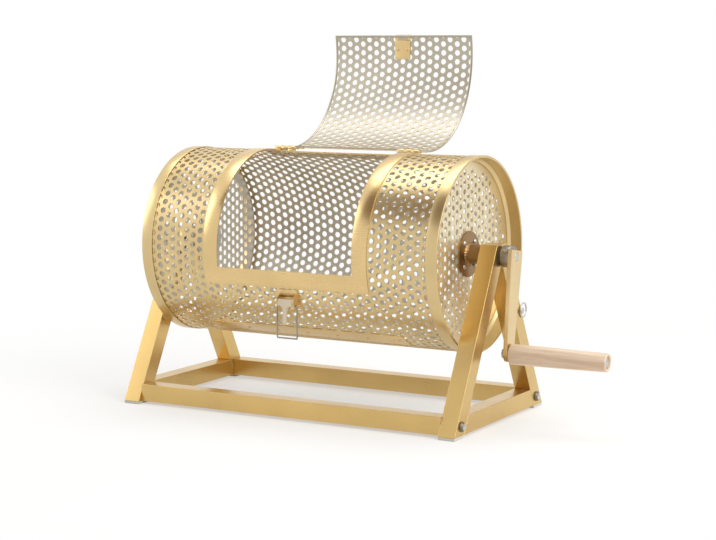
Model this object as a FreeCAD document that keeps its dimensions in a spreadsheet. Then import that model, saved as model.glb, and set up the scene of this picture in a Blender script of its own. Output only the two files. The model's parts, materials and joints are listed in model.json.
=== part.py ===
import FreeCAD, Part
import math
import os
import Sketcher

# Raffle drum on a tube stand: a perforated sheet drum with a hinged door, turned by a crank.
# +X runs along the drum's shaft towards the crank, -Y is the door side, +Z is up.
# Polar angles are in degrees about the shaft, from +Y (the back) over +Z (the top) to -Y.

doc = FreeCAD.newDocument("raffle_drum")
sheet = doc.addObject("Spreadsheet::Sheet", "Sizes")


class Size:
    """A size that keeps both its number and the expression that yields it."""

    def __init__(self, value, text):
        self.value = float(value)
        self.text = text

    def __add__(self, other):
        other = as_size(other)
        return Size(self.value + other.value, f"({self.text} + {other.text})")

    def __radd__(self, other):
        return as_size(other) + self

    def __sub__(self, other):
        other = as_size(other)
        return Size(self.value - other.value, f"({self.text} - {other.text})")

    def __rsub__(self, other):
        return as_size(other) - self

    def __mul__(self, other):
        other = as_size(other)
        return Size(self.value * other.value, f"({self.text} * {other.text})")

    def __rmul__(self, other):
        return as_size(other) * self

    def __truediv__(self, other):
        other = as_size(other)
        return Size(self.value / other.value, f"({self.text} / {other.text})")

    def __neg__(self):
        return Size(-self.value, f"(0 - {self.text})")


def as_size(number):
    if isinstance(number, Size):
        return number
    return Size(number, f"({number})")


def cosine(angle):
    angle = as_size(angle)
    return Size(math.cos(math.radians(angle.value)), f"cos({angle.text})")


def sine(angle):
    angle = as_size(angle)
    return Size(math.sin(math.radians(angle.value)), f"sin({angle.text})")


def root(size):
    return Size(math.sqrt(size.value), f"sqrt({size.text})")


def polar(radius, angle):
    """Gives the place (Y, Z) at a radius and a polar angle about the shaft."""
    return as_size(radius) * cosine(angle), as_size(radius) * sine(angle)


rows = 0


def cell(alias, number, note):
    """Writes one driving dimension, in millimetres or degrees, to the sheet."""
    global rows
    rows += 1
    sheet.set(f"A{rows}", str(number))
    sheet.setAlias(f"A{rows}", alias)
    sheet.set(f"B{rows}", note)
    return Size(number, f"Sizes.{alias}")


# Drum
drum_radius = cell("drum_radius", 135, "outside radius of the shell")
drum_length = cell("drum_length", 470, "length of the shell")
shell_wall = cell("shell_wall", 1, "thickness of the perforated sheet")
cap_wall = cell("cap_wall", 1.2, "thickness of the end caps")
cap_recess = cell("cap_recess", 19, "depth of the end discs inside the rim")
rim_width = cell("rim_width", 16, "width of the rolled rim on the outside of the shell")
cap_bend = cell("cap_bend", 4, "bend radius between disc and flange")
seat_gap = cell("seat_gap", 0.05, "clearance between pieces that are fixed on each other")

# Opening and door
opening_width = cell("opening_width", 216, "width of the opening")
opening_back = cell("opening_back", 75, "polar angle of the opening's back edge")
opening_front = cell("opening_front", 189.75, "polar angle of the opening's lower edge")
frame_band = cell("frame_band", 23, "width of the plain band at the sides of the opening")
frame_turn = cell("frame_turn", 10.6, "angle of the plain band above and below the opening")
band_wall = cell("band_wall", 1, "thickness of the plain bands")
door_width = cell("door_width", 234, "width of the door")
door_wall = cell("door_wall", 1, "thickness of the door sheet")
door_gap = cell("door_gap", 0.55, "radial gap between the shut door and the opening's band")
door_back = cell("door_back", 76, "polar angle of the shut door's hinge edge")
door_front = cell("door_front", 192.3, "polar angle of the shut door's free edge")
door_open = cell("door_open", 180, "angle that the door is thrown open by")

# Windows that stand for the shell's fine holes
window_pitch = cell("window_pitch", 42.8, "distance between columns of windows")
window_width = cell("window_width", 30, "width of a window")
window_start = cell("window_start", 252, "polar angle of the first row of windows")
window_turn = cell("window_turn", 20, "angle that a window covers")
window_step = cell("window_step", 30, "angle between rows of windows")

# Hinges
hinge_angle = cell("hinge_angle", 74, "polar angle of the hinge pins")
hinge_place = cell("hinge_place", 102, "distance of each hinge from the middle of the drum")
hinge_length = cell("hinge_length", 34, "length of a hinge")
hinge_wall = cell("hinge_wall", 1.2, "thickness of the hinge leaves")
hinge_leaf = cell("hinge_leaf", 8, "angle that a hinge leaf covers")
knuckle_radius = cell("knuckle_radius", 3.2, "outside radius of the knuckles")
knuckle_gap = cell("knuckle_gap", 0.3, "gap between neighbouring knuckles")
hinge_pin_radius = cell("hinge_pin_radius", 1.5, "radius of the hinge pins")
running_gap = cell("running_gap", 0.06, "radial clearance of a turning fit")

# Latch
latch_angle = cell("latch_angle", 206.6, "polar angle of the lever's pin")
latch_width = cell("latch_width", 34, "width of the latch's base plate")
latch_rise = cell("latch_rise", 8, "height of the lever's pin above the shell")
ear_wall = cell("ear_wall", 1.5, "thickness of the ears")
ear_span = cell("ear_span", 27, "width over the ears")
ear_radius = cell("ear_radius", 3.6, "radius of the ears' ends")
loop_drop = cell("loop_drop", 8, "distance of the loop's holes below the lever's pin")
loop_wire = cell("loop_wire", 1.1, "radius of the loop's wire")
loop_length = cell("loop_length", 46, "length of the wire loop")
loop_width = cell("loop_width", 32, "width of the wire loop between wire centres")
lever_length = cell("lever_length", 33, "length of the thumb lever")
lever_width = cell("lever_width", 7, "width of the thumb lever's tongue")
lever_wall = cell("lever_wall", 1.5, "thickness of the thumb lever")
catch_width = cell("catch_width", 26, "width of the catch and its backing plate")

# Hubs and shafts
shaft_radius = cell("shaft_radius", 6, "radius of the stub shafts")
sleeve_radius = cell("sleeve_radius", 13, "radius of the hub sleeves")
hub_flange_radius = cell("hub_flange_radius", 32, "radius of the hub flanges")
hub_flange_wall = cell("hub_flange_wall", 2.5, "thickness of the hub flanges")
rivet_circle = cell("rivet_circle", 23, "radius of the circle of hub rivets")
collar_radius = cell("collar_radius", 15, "radius of the shaft collars")
collar_width = cell("collar_width", 13, "width of the shaft collars")
bush_wall = cell("bush_wall", 2, "wall of the bushes")
bush_flange_radius = cell("bush_flange_radius", 13, "radius of the bush flanges")
bush_flange_wall = cell("bush_flange_wall", 3, "thickness of the bush flanges")
side_play = cell("side_play", 0.4, "gap along the shaft between turning faces")
sleeve_gap = cell("sleeve_gap", 1.5, "gap between a hub sleeve and the A-frame")

# Crank
crank_reach = cell("crank_reach", 132, "distance of the grip from the shaft")
crank_turn = cell("crank_turn", -8, "turn of the crank from straight down, towards the front")
crank_wall = cell("crank_wall", 6, "thickness of the crank arm")
crank_head = cell("crank_head", 34, "width of the arm at the shaft")
crank_foot = cell("crank_foot", 22, "width of the arm at the grip")
crank_top = cell("crank_top", 9, "height of the arm's square end above the shaft's centre")
grip_length = cell("grip_length", 140, "length of the wooden grip")
grip_inner_radius = cell("grip_inner_radius", 14, "radius of the grip at the arm")
grip_outer_radius = cell("grip_outer_radius", 12.5, "radius of the grip at its free end")
grip_bolt_radius = cell("grip_bolt_radius", 4, "radius of the grip's bolt")
bolt_head_wall = cell("bolt_head_wall", 5, "thickness of the bolt heads of the crank")

# Stand
axis_height = cell("axis_height", 231, "height of the shaft above the table")
tube = cell("tube", 25, "side of the square tube")
tube_wall = cell("tube_wall", 1.5, "wall of the square tube")
frame_place = cell("frame_place", 255, "distance of each A-frame's middle from the middle of the drum")
foot_reach = cell("foot_reach", 142, "distance of the legs' outer edges from the middle, on the feet")
foot_wall = cell("foot_wall", 4, "thickness of the foot caps below the tubes")
apex_rise = cell("apex_rise", 16, "height of the apex above the shaft's centre")
apex_half = cell("apex_half", 15, "half width of the flat top of the apex")
foot_plug = cell("foot_plug", 8, "length of the foot caps' plugs inside the legs")
bolt_radius = cell("bolt_radius", 3, "radius of the stand bolts")
bolt_head_radius = cell("bolt_head_radius", 7, "radius of the stand bolts' heads")
plate_wall = cell("plate_wall", 4, "thickness of the threaded plates in the long rails")
plug_gap = cell("plug_gap", 0.2, "gap between an insert and the tube round it")

# Guessed trim
seam_width = cell("seam_width", 316, "length of the seam strip along the drum")
seam_start = cell("seam_start", 233, "polar angle where the seam strip starts")
seam_turn = cell("seam_turn", 13, "angle that the seam strip covers")
ring_wire = cell("ring_wire", 1.2, "radius of the keeper ring's wire")
ring_radius = cell("ring_radius", 10, "radius of the keeper ring")
ring_drop = cell("ring_drop", 83, "depth of the keeper ring below the shaft")

doc.recompute()

parts = []
ORIGIN = (-1, 1)
X_AXIS = FreeCAD.Vector(1, 0, 0)


def bind(item, path, size):
    item.setExpression(path, as_size(size).text)


def body(label):
    """Starts a sub-part with a label of its own."""
    new = doc.addObject("PartDesign::Body", label)
    new.Label = label
    parts.append(new)
    return new


def sketch(owner, plane, turn=0, offset=0):
    """Adds a sketch on an origin plane, turned about the sketch's own X axis or lifted off it."""
    count = len([item for item in owner.Group if item.TypeId == "Sketcher::SketchObject"])
    new = owner.newObject("Sketcher::SketchObject", f"{owner.Name}_sketch_{count + 1}")
    support = [item for item in owner.Origin.OriginFeatures if item.Role == plane]
    new.AttachmentSupport = [(support[0], "")]
    new.MapMode = "FlatFace"
    turn = as_size(turn)
    offset = as_size(offset)
    new.AttachmentOffset = FreeCAD.Placement(
        FreeCAD.Vector(0, 0, offset.value), FreeCAD.Rotation(X_AXIS, turn.value)
    )
    if turn.value:
        bind(new, ".AttachmentOffset.Rotation.Angle", turn)
    if offset.value:
        bind(new, ".AttachmentOffset.Base.z", offset)
    return new


def pin_point(drawing, edge, end, x, y):
    """Holds one end of an edge at a place given by two sizes."""
    for kind, size in (("DistanceX", x), ("DistanceY", y)):
        rule = Sketcher.Constraint(kind, *ORIGIN, edge, end, size.value)
        number = drawing.addConstraint(rule)
        drawing.setExpression(f"Constraints[{number}]", size.text)


def outline(drawing, points):
    """Draws a closed outline of straight edges through points given by sizes."""
    points = [(as_size(x), as_size(y)) for x, y in points]
    first = drawing.GeometryCount
    count = len(points)
    corners = [FreeCAD.Vector(x.value, y.value, 0) for x, y in points]
    for index in range(count):
        drawing.addGeometry(Part.LineSegment(corners[index], corners[(index + 1) % count]))
    for index in range(count):
        following = first + (index + 1) % count
        drawing.addConstraint(Sketcher.Constraint("Coincident", first + index, 2, following, 1))
    for index, (x, y) in enumerate(points):
        pin_point(drawing, first + index, 1, x, y)


def box_outline(drawing, left, right, low, high):
    outline(drawing, [(left, low), (right, low), (right, high), (left, high)])


def circle(drawing, x, y, radius):
    """Draws a circle at a place and with a radius given by sizes."""
    x = as_size(x)
    y = as_size(y)
    radius = as_size(radius)
    middle = FreeCAD.Vector(x.value, y.value, 0)
    edge = drawing.addGeometry(Part.Circle(middle, FreeCAD.Vector(0, 0, 1), radius.value))
    pin_point(drawing, edge, 3, x, y)
    number = drawing.addConstraint(Sketcher.Constraint("Radius", edge, radius.value))
    drawing.setExpression(f"Constraints[{number}]", radius.text)


def feature(owner, kind, drawing, label):
    new = owner.newObject(f"PartDesign::{kind}", f"{owner.Name}_{label}")
    new.Profile = drawing
    drawing.Visibility = False
    return new


def pad(owner, drawing, length, middle=False, back=False):
    """Adds material along the sketch's normal."""
    count = len(owner.Group)
    new = feature(owner, "Pad", drawing, f"pad_{count}")
    bind(new, "Length", length)
    new.SideType = "Symmetric" if middle else "One side"
    new.Reversed = back
    return new


def pocket(owner, drawing, length, middle=False, back=False):
    """Takes material away along the sketch's normal."""
    count = len(owner.Group)
    new = feature(owner, "Pocket", drawing, f"pocket_{count}")
    bind(new, "Length", length)
    new.SideType = "Symmetric" if middle else "One side"
    new.Reversed = back
    return new


def spin(owner, drawing, sweep=360, cut=False):
    """Turns the sketch about its own X axis, to add or to cut."""
    count = len(owner.Group)
    new = feature(owner, "Groove" if cut else "Revolution", drawing, f"spin_{count}")
    new.ReferenceAxis = (drawing, ["H_Axis"])
    bind(new, "Angle", sweep)
    return new


def band(owner, left, right, inner, outer, start=0, sweep=360, cut=False):
    """Adds or cuts a curved strip between two radii, from a polar angle on."""
    drawing = sketch(owner, "XY_Plane", turn=start)
    box_outline(drawing, left, right, inner, outer)
    return spin(owner, drawing, sweep, cut=cut)


def turned(owner, points):
    """Adds a full round from points along X and out from the axis."""
    drawing = sketch(owner, "XY_Plane")
    outline(drawing, points)
    return spin(owner, drawing)


def windows(owner, columns, inner, outer, rows):
    """Cuts rows of windows in a curved sheet, in like columns left and right of its middle."""
    drawing = sketch(owner, "XY_Plane", turn=window_start)
    for column in columns:
        near_end = window_pitch * (column + 0.5) - window_width / 2
        far_end = near_end + window_width
        box_outline(drawing, near_end, far_end, inner, outer)
        box_outline(drawing, -far_end, -near_end, inner, outer)
    first = spin(owner, drawing, window_turn, cut=True)
    again = owner.newObject("PartDesign::PolarPattern", f"{owner.Name}_rows_{len(owner.Group)}")
    again.Originals = [first]
    again.Axis = (drawing, ["H_Axis"])
    bind(again, "Angle", window_step * (rows - 1))
    again.Occurrences = rows
    owner.Tip = again


def place(item, x=0.0, y=0.0, z=0.0, turn=0.0, about=(0.0, 0.0)):
    """Seats a sub-part: a turn about a line along X, then a shift, in numbers from the sheet."""
    spin_only = FreeCAD.Rotation(X_AXIS, turn)
    pivot = FreeCAD.Vector(0, about[0], about[1])
    base = pivot - spin_only.multVec(pivot) + FreeCAD.Vector(x, y, z)
    item.Placement = FreeCAD.Placement(base, spin_only)


def compound(label, pieces):
    """Gathers like pieces, such as rivets, in one sub-part."""
    new = doc.addObject("Part::Compound", label)
    new.Label = label
    new.Links = pieces
    parts.append(new)
    return new


def rod(name, radius, length, x, y, z):
    """Makes one cylinder that runs along X from a place."""
    new = doc.addObject("Part::Cylinder", name)
    bind(new, "Radius", radius)
    bind(new, "Height", length)
    new.Placement = FreeCAD.Placement(
        FreeCAD.Vector(x, y, z), FreeCAD.Rotation(FreeCAD.Vector(0, 1, 0), 90)
    )
    return new


def stud(name, radius, length, x, polar, start):
    """Makes one short cylinder that points straight out from the shaft."""
    new = doc.addObject("Part::Cylinder", name)
    bind(new, "Radius", radius)
    bind(new, "Height", length)
    outwards = FreeCAD.Rotation(X_AXIS, polar).multVec(FreeCAD.Vector(0, 1, 0))
    turn = FreeCAD.Rotation(FreeCAD.Vector(0, 0, 1), outwards)
    base = outwards * start
    new.Placement = FreeCAD.Placement(FreeCAD.Vector(x, base.y, base.z), turn)
    return new


# Drum

half_drum = drum_length / 2
shell_inner = drum_radius - shell_wall
half_opening = opening_width / 2
opening_turn = opening_front - opening_back

# The shell is one rolled sheet with the door opening cut out of it. Large windows stand for its
# fine holes: columns 0 to 2 lie below the opening, column 3 beside it, and column 4 past the seam.
shell = body("drum_shell")
band(shell, -half_drum, half_drum, shell_inner, drum_radius)
band(shell, -half_opening, half_opening, shell_inner - 2, drum_radius + 2,
     opening_back, opening_turn, cut=True)
for columns, window_rows in (([0, 1, 2], 6), ([3], 11), ([4], 12)):
    windows(shell, columns, shell_inner - 2, drum_radius + 2, window_rows)

# A plain frame lies on the shell round the opening.
frame_outer = drum_radius + seat_gap + band_wall
frame_half = half_opening + frame_band
frame = body("opening_frame")
band(frame, -frame_half, frame_half, drum_radius + seat_gap, frame_outer,
     opening_back - frame_turn, opening_turn + frame_turn * 2)
band(frame, -half_opening, half_opening, drum_radius - 2, frame_outer + 2,
     opening_back, opening_turn, cut=True)

# The sheet's long seam is covered by a plain strip with a row of rivets.
half_seam = seam_width / 2
seam = body("seam_strip")
band(seam, -half_seam, half_seam, drum_radius + seat_gap, frame_outer, seam_start, seam_turn)

SEAM_RIVETS = 7
SEAM_RIVET_EDGE = 12
RIVET_HEAD = 2.2
RIVET_RISE = 1.0
seam_middle = seam_start.value + seam_turn.value / 2
seam_heads = []
for index in range(SEAM_RIVETS):
    spread = index / (SEAM_RIVETS - 1) - 0.5
    x = spread * (seam_width.value - 2 * SEAM_RIVET_EDGE)
    seam_heads.append(stud(f"seam_head_{index}", RIVET_HEAD, RIVET_RISE, x, seam_middle,
                           frame_outer.value))
compound("seam_rivets", seam_heads)

# Each end cap is a dished disc whose flange is rolled back over the shell's edge.
# A bend broken at 45 degrees keeps the sheet's thickness when its outside is wider by this share.
EVEN_WALL = 2 - math.sqrt(2)
disc_face = half_drum - cap_recess
disc_back = disc_face - cap_wall
flange_outer = shell_inner - seat_gap
flange_inner = flange_outer - cap_wall
hoop_inner = drum_radius + seat_gap
hoop_outer = hoop_inner + cap_wall
lip_inner = half_drum + seat_gap
lip_outer = lip_inner + cap_wall
shaft_hole = shaft_radius + seat_gap


def mirrored(points, side):
    """Puts a profile drawn for the right side on the side asked for."""
    return [(as_size(x) * side, y) for x, y in points]


def bend_edges(owner, side, size, reach, place_x):
    """Breaks the round edges of a cap that lie at a given radius and place along X."""
    base = owner.Tip
    names = []
    for index, edge in enumerate(base.Shape.Edges):
        if not isinstance(edge.Curve, Part.Circle):
            continue
        if abs(edge.Curve.Radius - reach.value) > 0.01:
            continue
        if abs(edge.Curve.Center.x - side * place_x.value) < 0.01:
            names.append(f"Edge{index + 1}")
    new = owner.newObject("PartDesign::Chamfer", f"{owner.Name}_bend_{len(owner.Group)}")
    new.Base = (base, names)
    bind(new, "Size", size)
    return new


for name, side in (("left", -1), ("right", 1)):
    cap = body(f"end_cap_{name}")
    turned(cap, mirrored([
        (disc_back, shaft_hole),
        (disc_back, flange_outer),
        (lip_inner, flange_outer),
        (lip_inner, hoop_inner),
        (half_drum - rim_width, hoop_inner),
        (half_drum - rim_width, hoop_outer),
        (lip_outer, hoop_outer),
        (lip_outer, flange_inner),
        (disc_face, flange_inner),
        (disc_face, shaft_hole),
    ], side))
    doc.recompute()
    bend_edges(cap, side, cap_bend + cap_wall * EVEN_WALL, flange_outer, disc_back)
    doc.recompute()
    bend_edges(cap, side, cap_bend, flange_inner, disc_face)

# Hubs, inner plates, rivets and stub shafts clamp each end cap.
sleeve_end = frame_place - tube / 2 - sleeve_gap
plate_back = disc_back - hub_flange_wall
flange_face = disc_face + hub_flange_wall
WELD = 3
SHAFT_HEAD_RADIUS = 10
SHAFT_HEAD_WALL = 5
bush_face = frame_place + tube / 2 + bush_flange_wall
collar_inner = bush_face + side_play
collar_outer = collar_inner + collar_width
arm_outer = collar_outer + crank_wall

for name, side in (("left", -1), ("right", 1)):
    hub = body(f"hub_{name}")
    turned(hub, mirrored([
        (disc_face, shaft_hole),
        (disc_face, hub_flange_radius),
        (flange_face, hub_flange_radius),
        (flange_face, sleeve_radius + WELD),
        (flange_face + WELD, sleeve_radius),
        (sleeve_end, sleeve_radius),
        (sleeve_end, shaft_hole),
    ], side))
    plate = body(f"inner_plate_{name}")
    turned(plate, mirrored([
        (plate_back, shaft_hole),
        (plate_back, hub_flange_radius),
        (disc_back, hub_flange_radius),
        (disc_back, shaft_hole),
    ], side))
    shaft = body(f"shaft_{name}")
    shaft_end = arm_outer if side > 0 else collar_outer + 2
    turned(shaft, mirrored([
        (plate_back - SHAFT_HEAD_WALL, 0),
        (plate_back - SHAFT_HEAD_WALL, SHAFT_HEAD_RADIUS),
        (plate_back, SHAFT_HEAD_RADIUS),
        (plate_back, shaft_radius),
        (shaft_end, shaft_radius),
        (shaft_end, 0),
    ], side))
    collar = body(f"collar_{name}")
    turned(collar, mirrored([
        (collar_inner, shaft_hole),
        (collar_inner, collar_radius - 1),
        (collar_inner + 1, collar_radius),
        (collar_outer - 1, collar_radius),
        (collar_outer, collar_radius - 1),
        (collar_outer, shaft_hole),
    ], side))

HUB_RIVETS = 4
HUB_RIVET_HEAD = 3.5
HUB_RIVET_RISE = 2
hub_heads = []
for side in (-1, 1):
    for index in range(HUB_RIVETS):
        angle = math.radians(45 + 360 * index / HUB_RIVETS)
        y = rivet_circle.value * math.cos(angle)
        z = rivet_circle.value * math.sin(angle)
        for seat in (flange_face.value, plate_back.value - HUB_RIVET_RISE):
            start = seat if side > 0 else -seat - HUB_RIVET_RISE
            hub_heads.append(rod(f"hub_head_{len(hub_heads)}", HUB_RIVET_HEAD,
                                 HUB_RIVET_RISE, start, y, z))
compound("hub_rivets", hub_heads)

# Door and its hinges, drawn shut. The pins run just outside the door sheet.
door_inner = frame_outer + door_gap
door_outer = door_inner + door_wall
pin_reach = door_outer + 2 * seat_gap + knuckle_radius
pin_y, pin_z = polar(pin_reach, hinge_angle)
half_door = door_width / 2
door = body("door_panel")
band(door, -half_door, half_door, door_inner, door_outer, door_back, door_front - door_back)

knuckle_length = (hinge_length - 2 * knuckle_gap) / 3
half_hinge = hinge_length / 2
LEAF_GAP = 2.6
WEB_TURN = 1.8
drum_leaf_inner = frame_outer + seat_gap
drum_leaf_outer = drum_leaf_inner + hinge_wall
door_leaf_inner = door_outer + seat_gap
door_leaf_outer = door_leaf_inner + hinge_wall

for name, side in (("left", -1), ("right", 1)):
    seat = side * hinge_place.value
    leaf = body(f"drum_hinge_{name}")
    band(leaf, -half_hinge, half_hinge, drum_leaf_inner, drum_leaf_outer,
         hinge_angle - hinge_leaf, hinge_leaf)
    for start in (-half_hinge, half_hinge - knuckle_length):
        band(leaf, start, start + knuckle_length, drum_leaf_inner, pin_reach - 2,
             hinge_angle - WEB_TURN / 2, WEB_TURN)
        knuckle = sketch(leaf, "YZ_Plane", offset=start)
        circle(knuckle, pin_y, pin_z, knuckle_radius)
        pad(leaf, knuckle, knuckle_length)
    bore = sketch(leaf, "YZ_Plane")
    circle(bore, pin_y, pin_z, hinge_pin_radius + seat_gap)
    pocket(leaf, bore, hinge_length * 2, middle=True)
    place(leaf, x=seat)

    moving = body(f"door_hinge_{name}")
    band(moving, -half_hinge, half_hinge, door_leaf_inner, door_leaf_outer,
         hinge_angle + LEAF_GAP, hinge_leaf)
    band(moving, -knuckle_length / 2, knuckle_length / 2, door_leaf_inner, door_leaf_outer,
         hinge_angle, LEAF_GAP + 1)
    knuckle = sketch(moving, "YZ_Plane")
    circle(knuckle, pin_y, pin_z, knuckle_radius)
    pad(moving, knuckle, knuckle_length, middle=True)
    bore = sketch(moving, "YZ_Plane")
    circle(bore, pin_y, pin_z, hinge_pin_radius + running_gap)
    pocket(moving, bore, hinge_length * 2, middle=True)
    place(moving, x=seat)

    pin = body(f"hinge_pin_{name}")
    pin_drawing = sketch(pin, "YZ_Plane")
    circle(pin_drawing, pin_y, pin_z, hinge_pin_radius)
    pad(pin, pin_drawing, hinge_length + 2, middle=True)
    place(pin, x=seat)

HINGE_RIVET_SPREAD = 10
drum_heads = []
door_heads = []
for side in (-1, 1):
    for step in (-1, 1):
        x = side * hinge_place.value + step * HINGE_RIVET_SPREAD
        drum_heads.append(stud(f"drum_hinge_head_{len(drum_heads)}", RIVET_HEAD, RIVET_RISE, x,
                               hinge_angle.value - 5, drum_leaf_outer.value))
        door_heads.append(stud(f"door_hinge_head_{len(door_heads)}", RIVET_HEAD, RIVET_RISE, x,
                               hinge_angle.value + LEAF_GAP + 5, door_leaf_outer.value))
compound("drum_hinge_rivets", drum_heads)
compound("door_hinge_rivets", door_heads)

# Latch. The lever and the wire loop hang in a pair of ears below the opening.
pivot_reach = drum_radius + latch_rise
loop_angle = latch_angle + loop_drop / pivot_reach * 57.3
base_outer = drum_radius + seat_gap + cap_wall
half_latch = latch_width / 2
PLATE_ABOVE = 5.5
PLATE_BELOW = 6.5
latch = body("latch_base")
band(latch, -half_latch, half_latch, drum_radius + seat_gap, base_outer,
     latch_angle - PLATE_ABOVE, as_size(PLATE_ABOVE + PLATE_BELOW))
ear_top = pivot_reach + ear_radius
for start in (-ear_span / 2, ear_span / 2 - ear_wall):
    ear = sketch(latch, "YZ_Plane", offset=start)
    outline(ear, [
        polar(base_outer - 0.5, latch_angle - 2.4),
        polar(pivot_reach + 1.5, latch_angle - 1.5),
        polar(ear_top, latch_angle - 0.4),
        polar(ear_top, loop_angle + 0.4),
        polar(pivot_reach + 1.5, loop_angle + 1.5),
        polar(base_outer - 0.5, loop_angle + 2.4),
    ])
    pad(latch, ear, ear_wall)
latch_bores = sketch(latch, "YZ_Plane")
lever_y, lever_z = polar(pivot_reach, latch_angle)
loop_y, loop_z = polar(pivot_reach, loop_angle)
LATCH_PIN = 1.5
circle(latch_bores, lever_y, lever_z, LATCH_PIN + seat_gap)
circle(latch_bores, loop_y, loop_z, loop_wire + running_gap)
pocket(latch, latch_bores, latch_width * 2, middle=True)

PIN_HEAD = 2.3
PIN_HEAD_WALL = 1
half_ears = ear_span / 2
pin = body("latch_pin")
turned(pin, [
    (-half_ears - PIN_HEAD_WALL, 0),
    (-half_ears - PIN_HEAD_WALL, PIN_HEAD),
    (-half_ears, PIN_HEAD),
    (-half_ears, LATCH_PIN),
    (half_ears, LATCH_PIN),
    (half_ears, PIN_HEAD),
    (half_ears + PIN_HEAD_WALL, PIN_HEAD),
    (half_ears + PIN_HEAD_WALL, 0),
])
place(pin, y=lever_y.value, z=lever_z.value)

# The lever is a wide plate on a knuckle, narrowed to a tongue for the thumb.
LEVER_KNUCKLE = 3
LEVER_ROOT = 2
LEVER_SHOULDER = 6
LEVER_NECK = 10
LEVER_CORNER = 2
lever_half = half_ears - ear_wall - 0.5
tongue_half = lever_width / 2
lever = body("latch_lever")
lever_round = sketch(lever, "YZ_Plane")
circle(lever_round, 0, 0, LEVER_KNUCKLE)
pad(lever, lever_round, lever_half * 2, middle=True)
lever_plate = sketch(lever, "XZ_Plane", offset=as_size(LEVER_KNUCKLE) - lever_wall)
outline(lever_plate, [
    (-lever_half, LEVER_ROOT),
    (-lever_half, -LEVER_SHOULDER),
    (-tongue_half, -LEVER_NECK),
    (-tongue_half, -lever_length + LEVER_CORNER),
    (-tongue_half + LEVER_CORNER, -lever_length),
    (tongue_half - LEVER_CORNER, -lever_length),
    (tongue_half, -lever_length + LEVER_CORNER),
    (tongue_half, -LEVER_NECK),
    (lever_half, -LEVER_SHOULDER),
    (lever_half, LEVER_ROOT),
])
pad(lever, lever_plate, lever_wall)
lever_bore = sketch(lever, "YZ_Plane")
circle(lever_bore, 0, 0, LATCH_PIN + running_gap)
pocket(lever, lever_bore, latch_width * 2, middle=True)
place(lever, y=lever_y.value, z=lever_z.value)


LOOP_SIDES = 8


def wire(label, corners, bend, radius):
    """Bends a round wire through corners given as vectors, with an equal bend at each."""
    edges = []
    start = corners[0]
    for before, corner, after in zip(corners, corners[1:], corners[2:]):
        inwards = (before - corner).normalize()
        outwards = (after - corner).normalize()
        turn = math.pi - inwards.getAngle(outwards)
        setback = bend * math.tan(turn / 2)
        first = corner + inwards * setback
        last = corner + outwards * setback
        bisector = (inwards + outwards).normalize()
        centre = corner + bisector * (bend / math.cos(turn / 2))
        middle = centre - bisector * bend
        edges.append(Part.LineSegment(start, first).toShape())
        edges.append(Part.Arc(first, middle, last).toShape())
        start = last
    edges.append(Part.LineSegment(start, corners[-1]).toShape())
    path = Part.Wire(edges)
    heading = (corners[1] - corners[0]).normalize()
    across = heading.cross(FreeCAD.Vector(0, 1, 0))
    rim = []
    for index in range(LOOP_SIDES + 1):
        turn = FreeCAD.Rotation(heading, 360 / LOOP_SIDES * index)
        rim.append(corners[0] + turn.multVec(across) * radius)
    section = Part.makePolygon(rim)
    new = doc.addObject("Part::Feature", label)
    new.Label = label
    new.Shape = path.makePipeShell([section], True, True)
    parts.append(new)
    return new


LOOP_BEND = 2.4
side_x = loop_width.value / 2
stub_x = half_ears.value - ear_wall.value
drop = -loop_length.value
loop = wire("latch_loop", [
    FreeCAD.Vector(stub_x, 0, 0),
    FreeCAD.Vector(side_x, 0, 0),
    FreeCAD.Vector(side_x, 0, drop),
    FreeCAD.Vector(-side_x, 0, drop),
    FreeCAD.Vector(-side_x, 0, 0),
    FreeCAD.Vector(-stub_x, 0, 0),
], LOOP_BEND, loop_wire.value)
place(loop, y=loop_y.value, z=loop_z.value)

LATCH_RIVET_SPREAD = 9.5
latch_heads = []
for step in (-1, 1):
    latch_heads.append(stud(f"latch_head_{len(latch_heads)}", RIVET_HEAD, RIVET_RISE,
                            step * LATCH_RIVET_SPREAD, latch_angle.value - PLATE_ABOVE + 2,
                            base_outer.value))
compound("latch_rivets", latch_heads)

# The catch is a strap on the door whose end is turned up into a hook for the loop. A plate inside
# the door backs it, clear of the opening's lower edge, and rivets clamp both on the sheet.
CATCH_BACK = 181
BACKING_BACK = 177
BACKING_ROOM = 0.55
LIP_TURN = 0.5
HOOK_TURN = 1.9
HOOK_ROOM = 2.45
half_catch = catch_width / 2
hook_inner = door_leaf_outer + HOOK_ROOM
hook_outer = hook_inner + hinge_wall
catch_lip = door_front - LIP_TURN
catch = body("door_catch")
band(catch, -half_catch, half_catch, door_leaf_inner, door_leaf_outer,
     CATCH_BACK, door_front - CATCH_BACK)
band(catch, -half_catch, half_catch, door_leaf_inner, hook_outer, catch_lip, LIP_TURN)
band(catch, -half_catch, half_catch, hook_inner, hook_outer, catch_lip - HOOK_TURN,
     as_size(HOOK_TURN + LIP_TURN))
backing_outer = door_inner - seat_gap
backing_inner = backing_outer - hinge_wall
backing = body("catch_plate")
band(backing, -half_catch, half_catch, backing_inner, backing_outer,
     BACKING_BACK, opening_front - BACKING_ROOM - BACKING_BACK)
CATCH_RIVET_SPREAD = 8
CATCH_RIVET_PLACE = 2.5
catch_heads = []
for step in (-1, 1):
    for seat in (door_leaf_outer.value, backing_inner.value - seat_gap.value - RIVET_RISE):
        catch_heads.append(stud(f"catch_head_{len(catch_heads)}", RIVET_HEAD, RIVET_RISE,
                                step * CATCH_RIVET_SPREAD, CATCH_BACK + CATCH_RIVET_PLACE, seat))
compound("catch_rivets", catch_heads)

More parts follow.
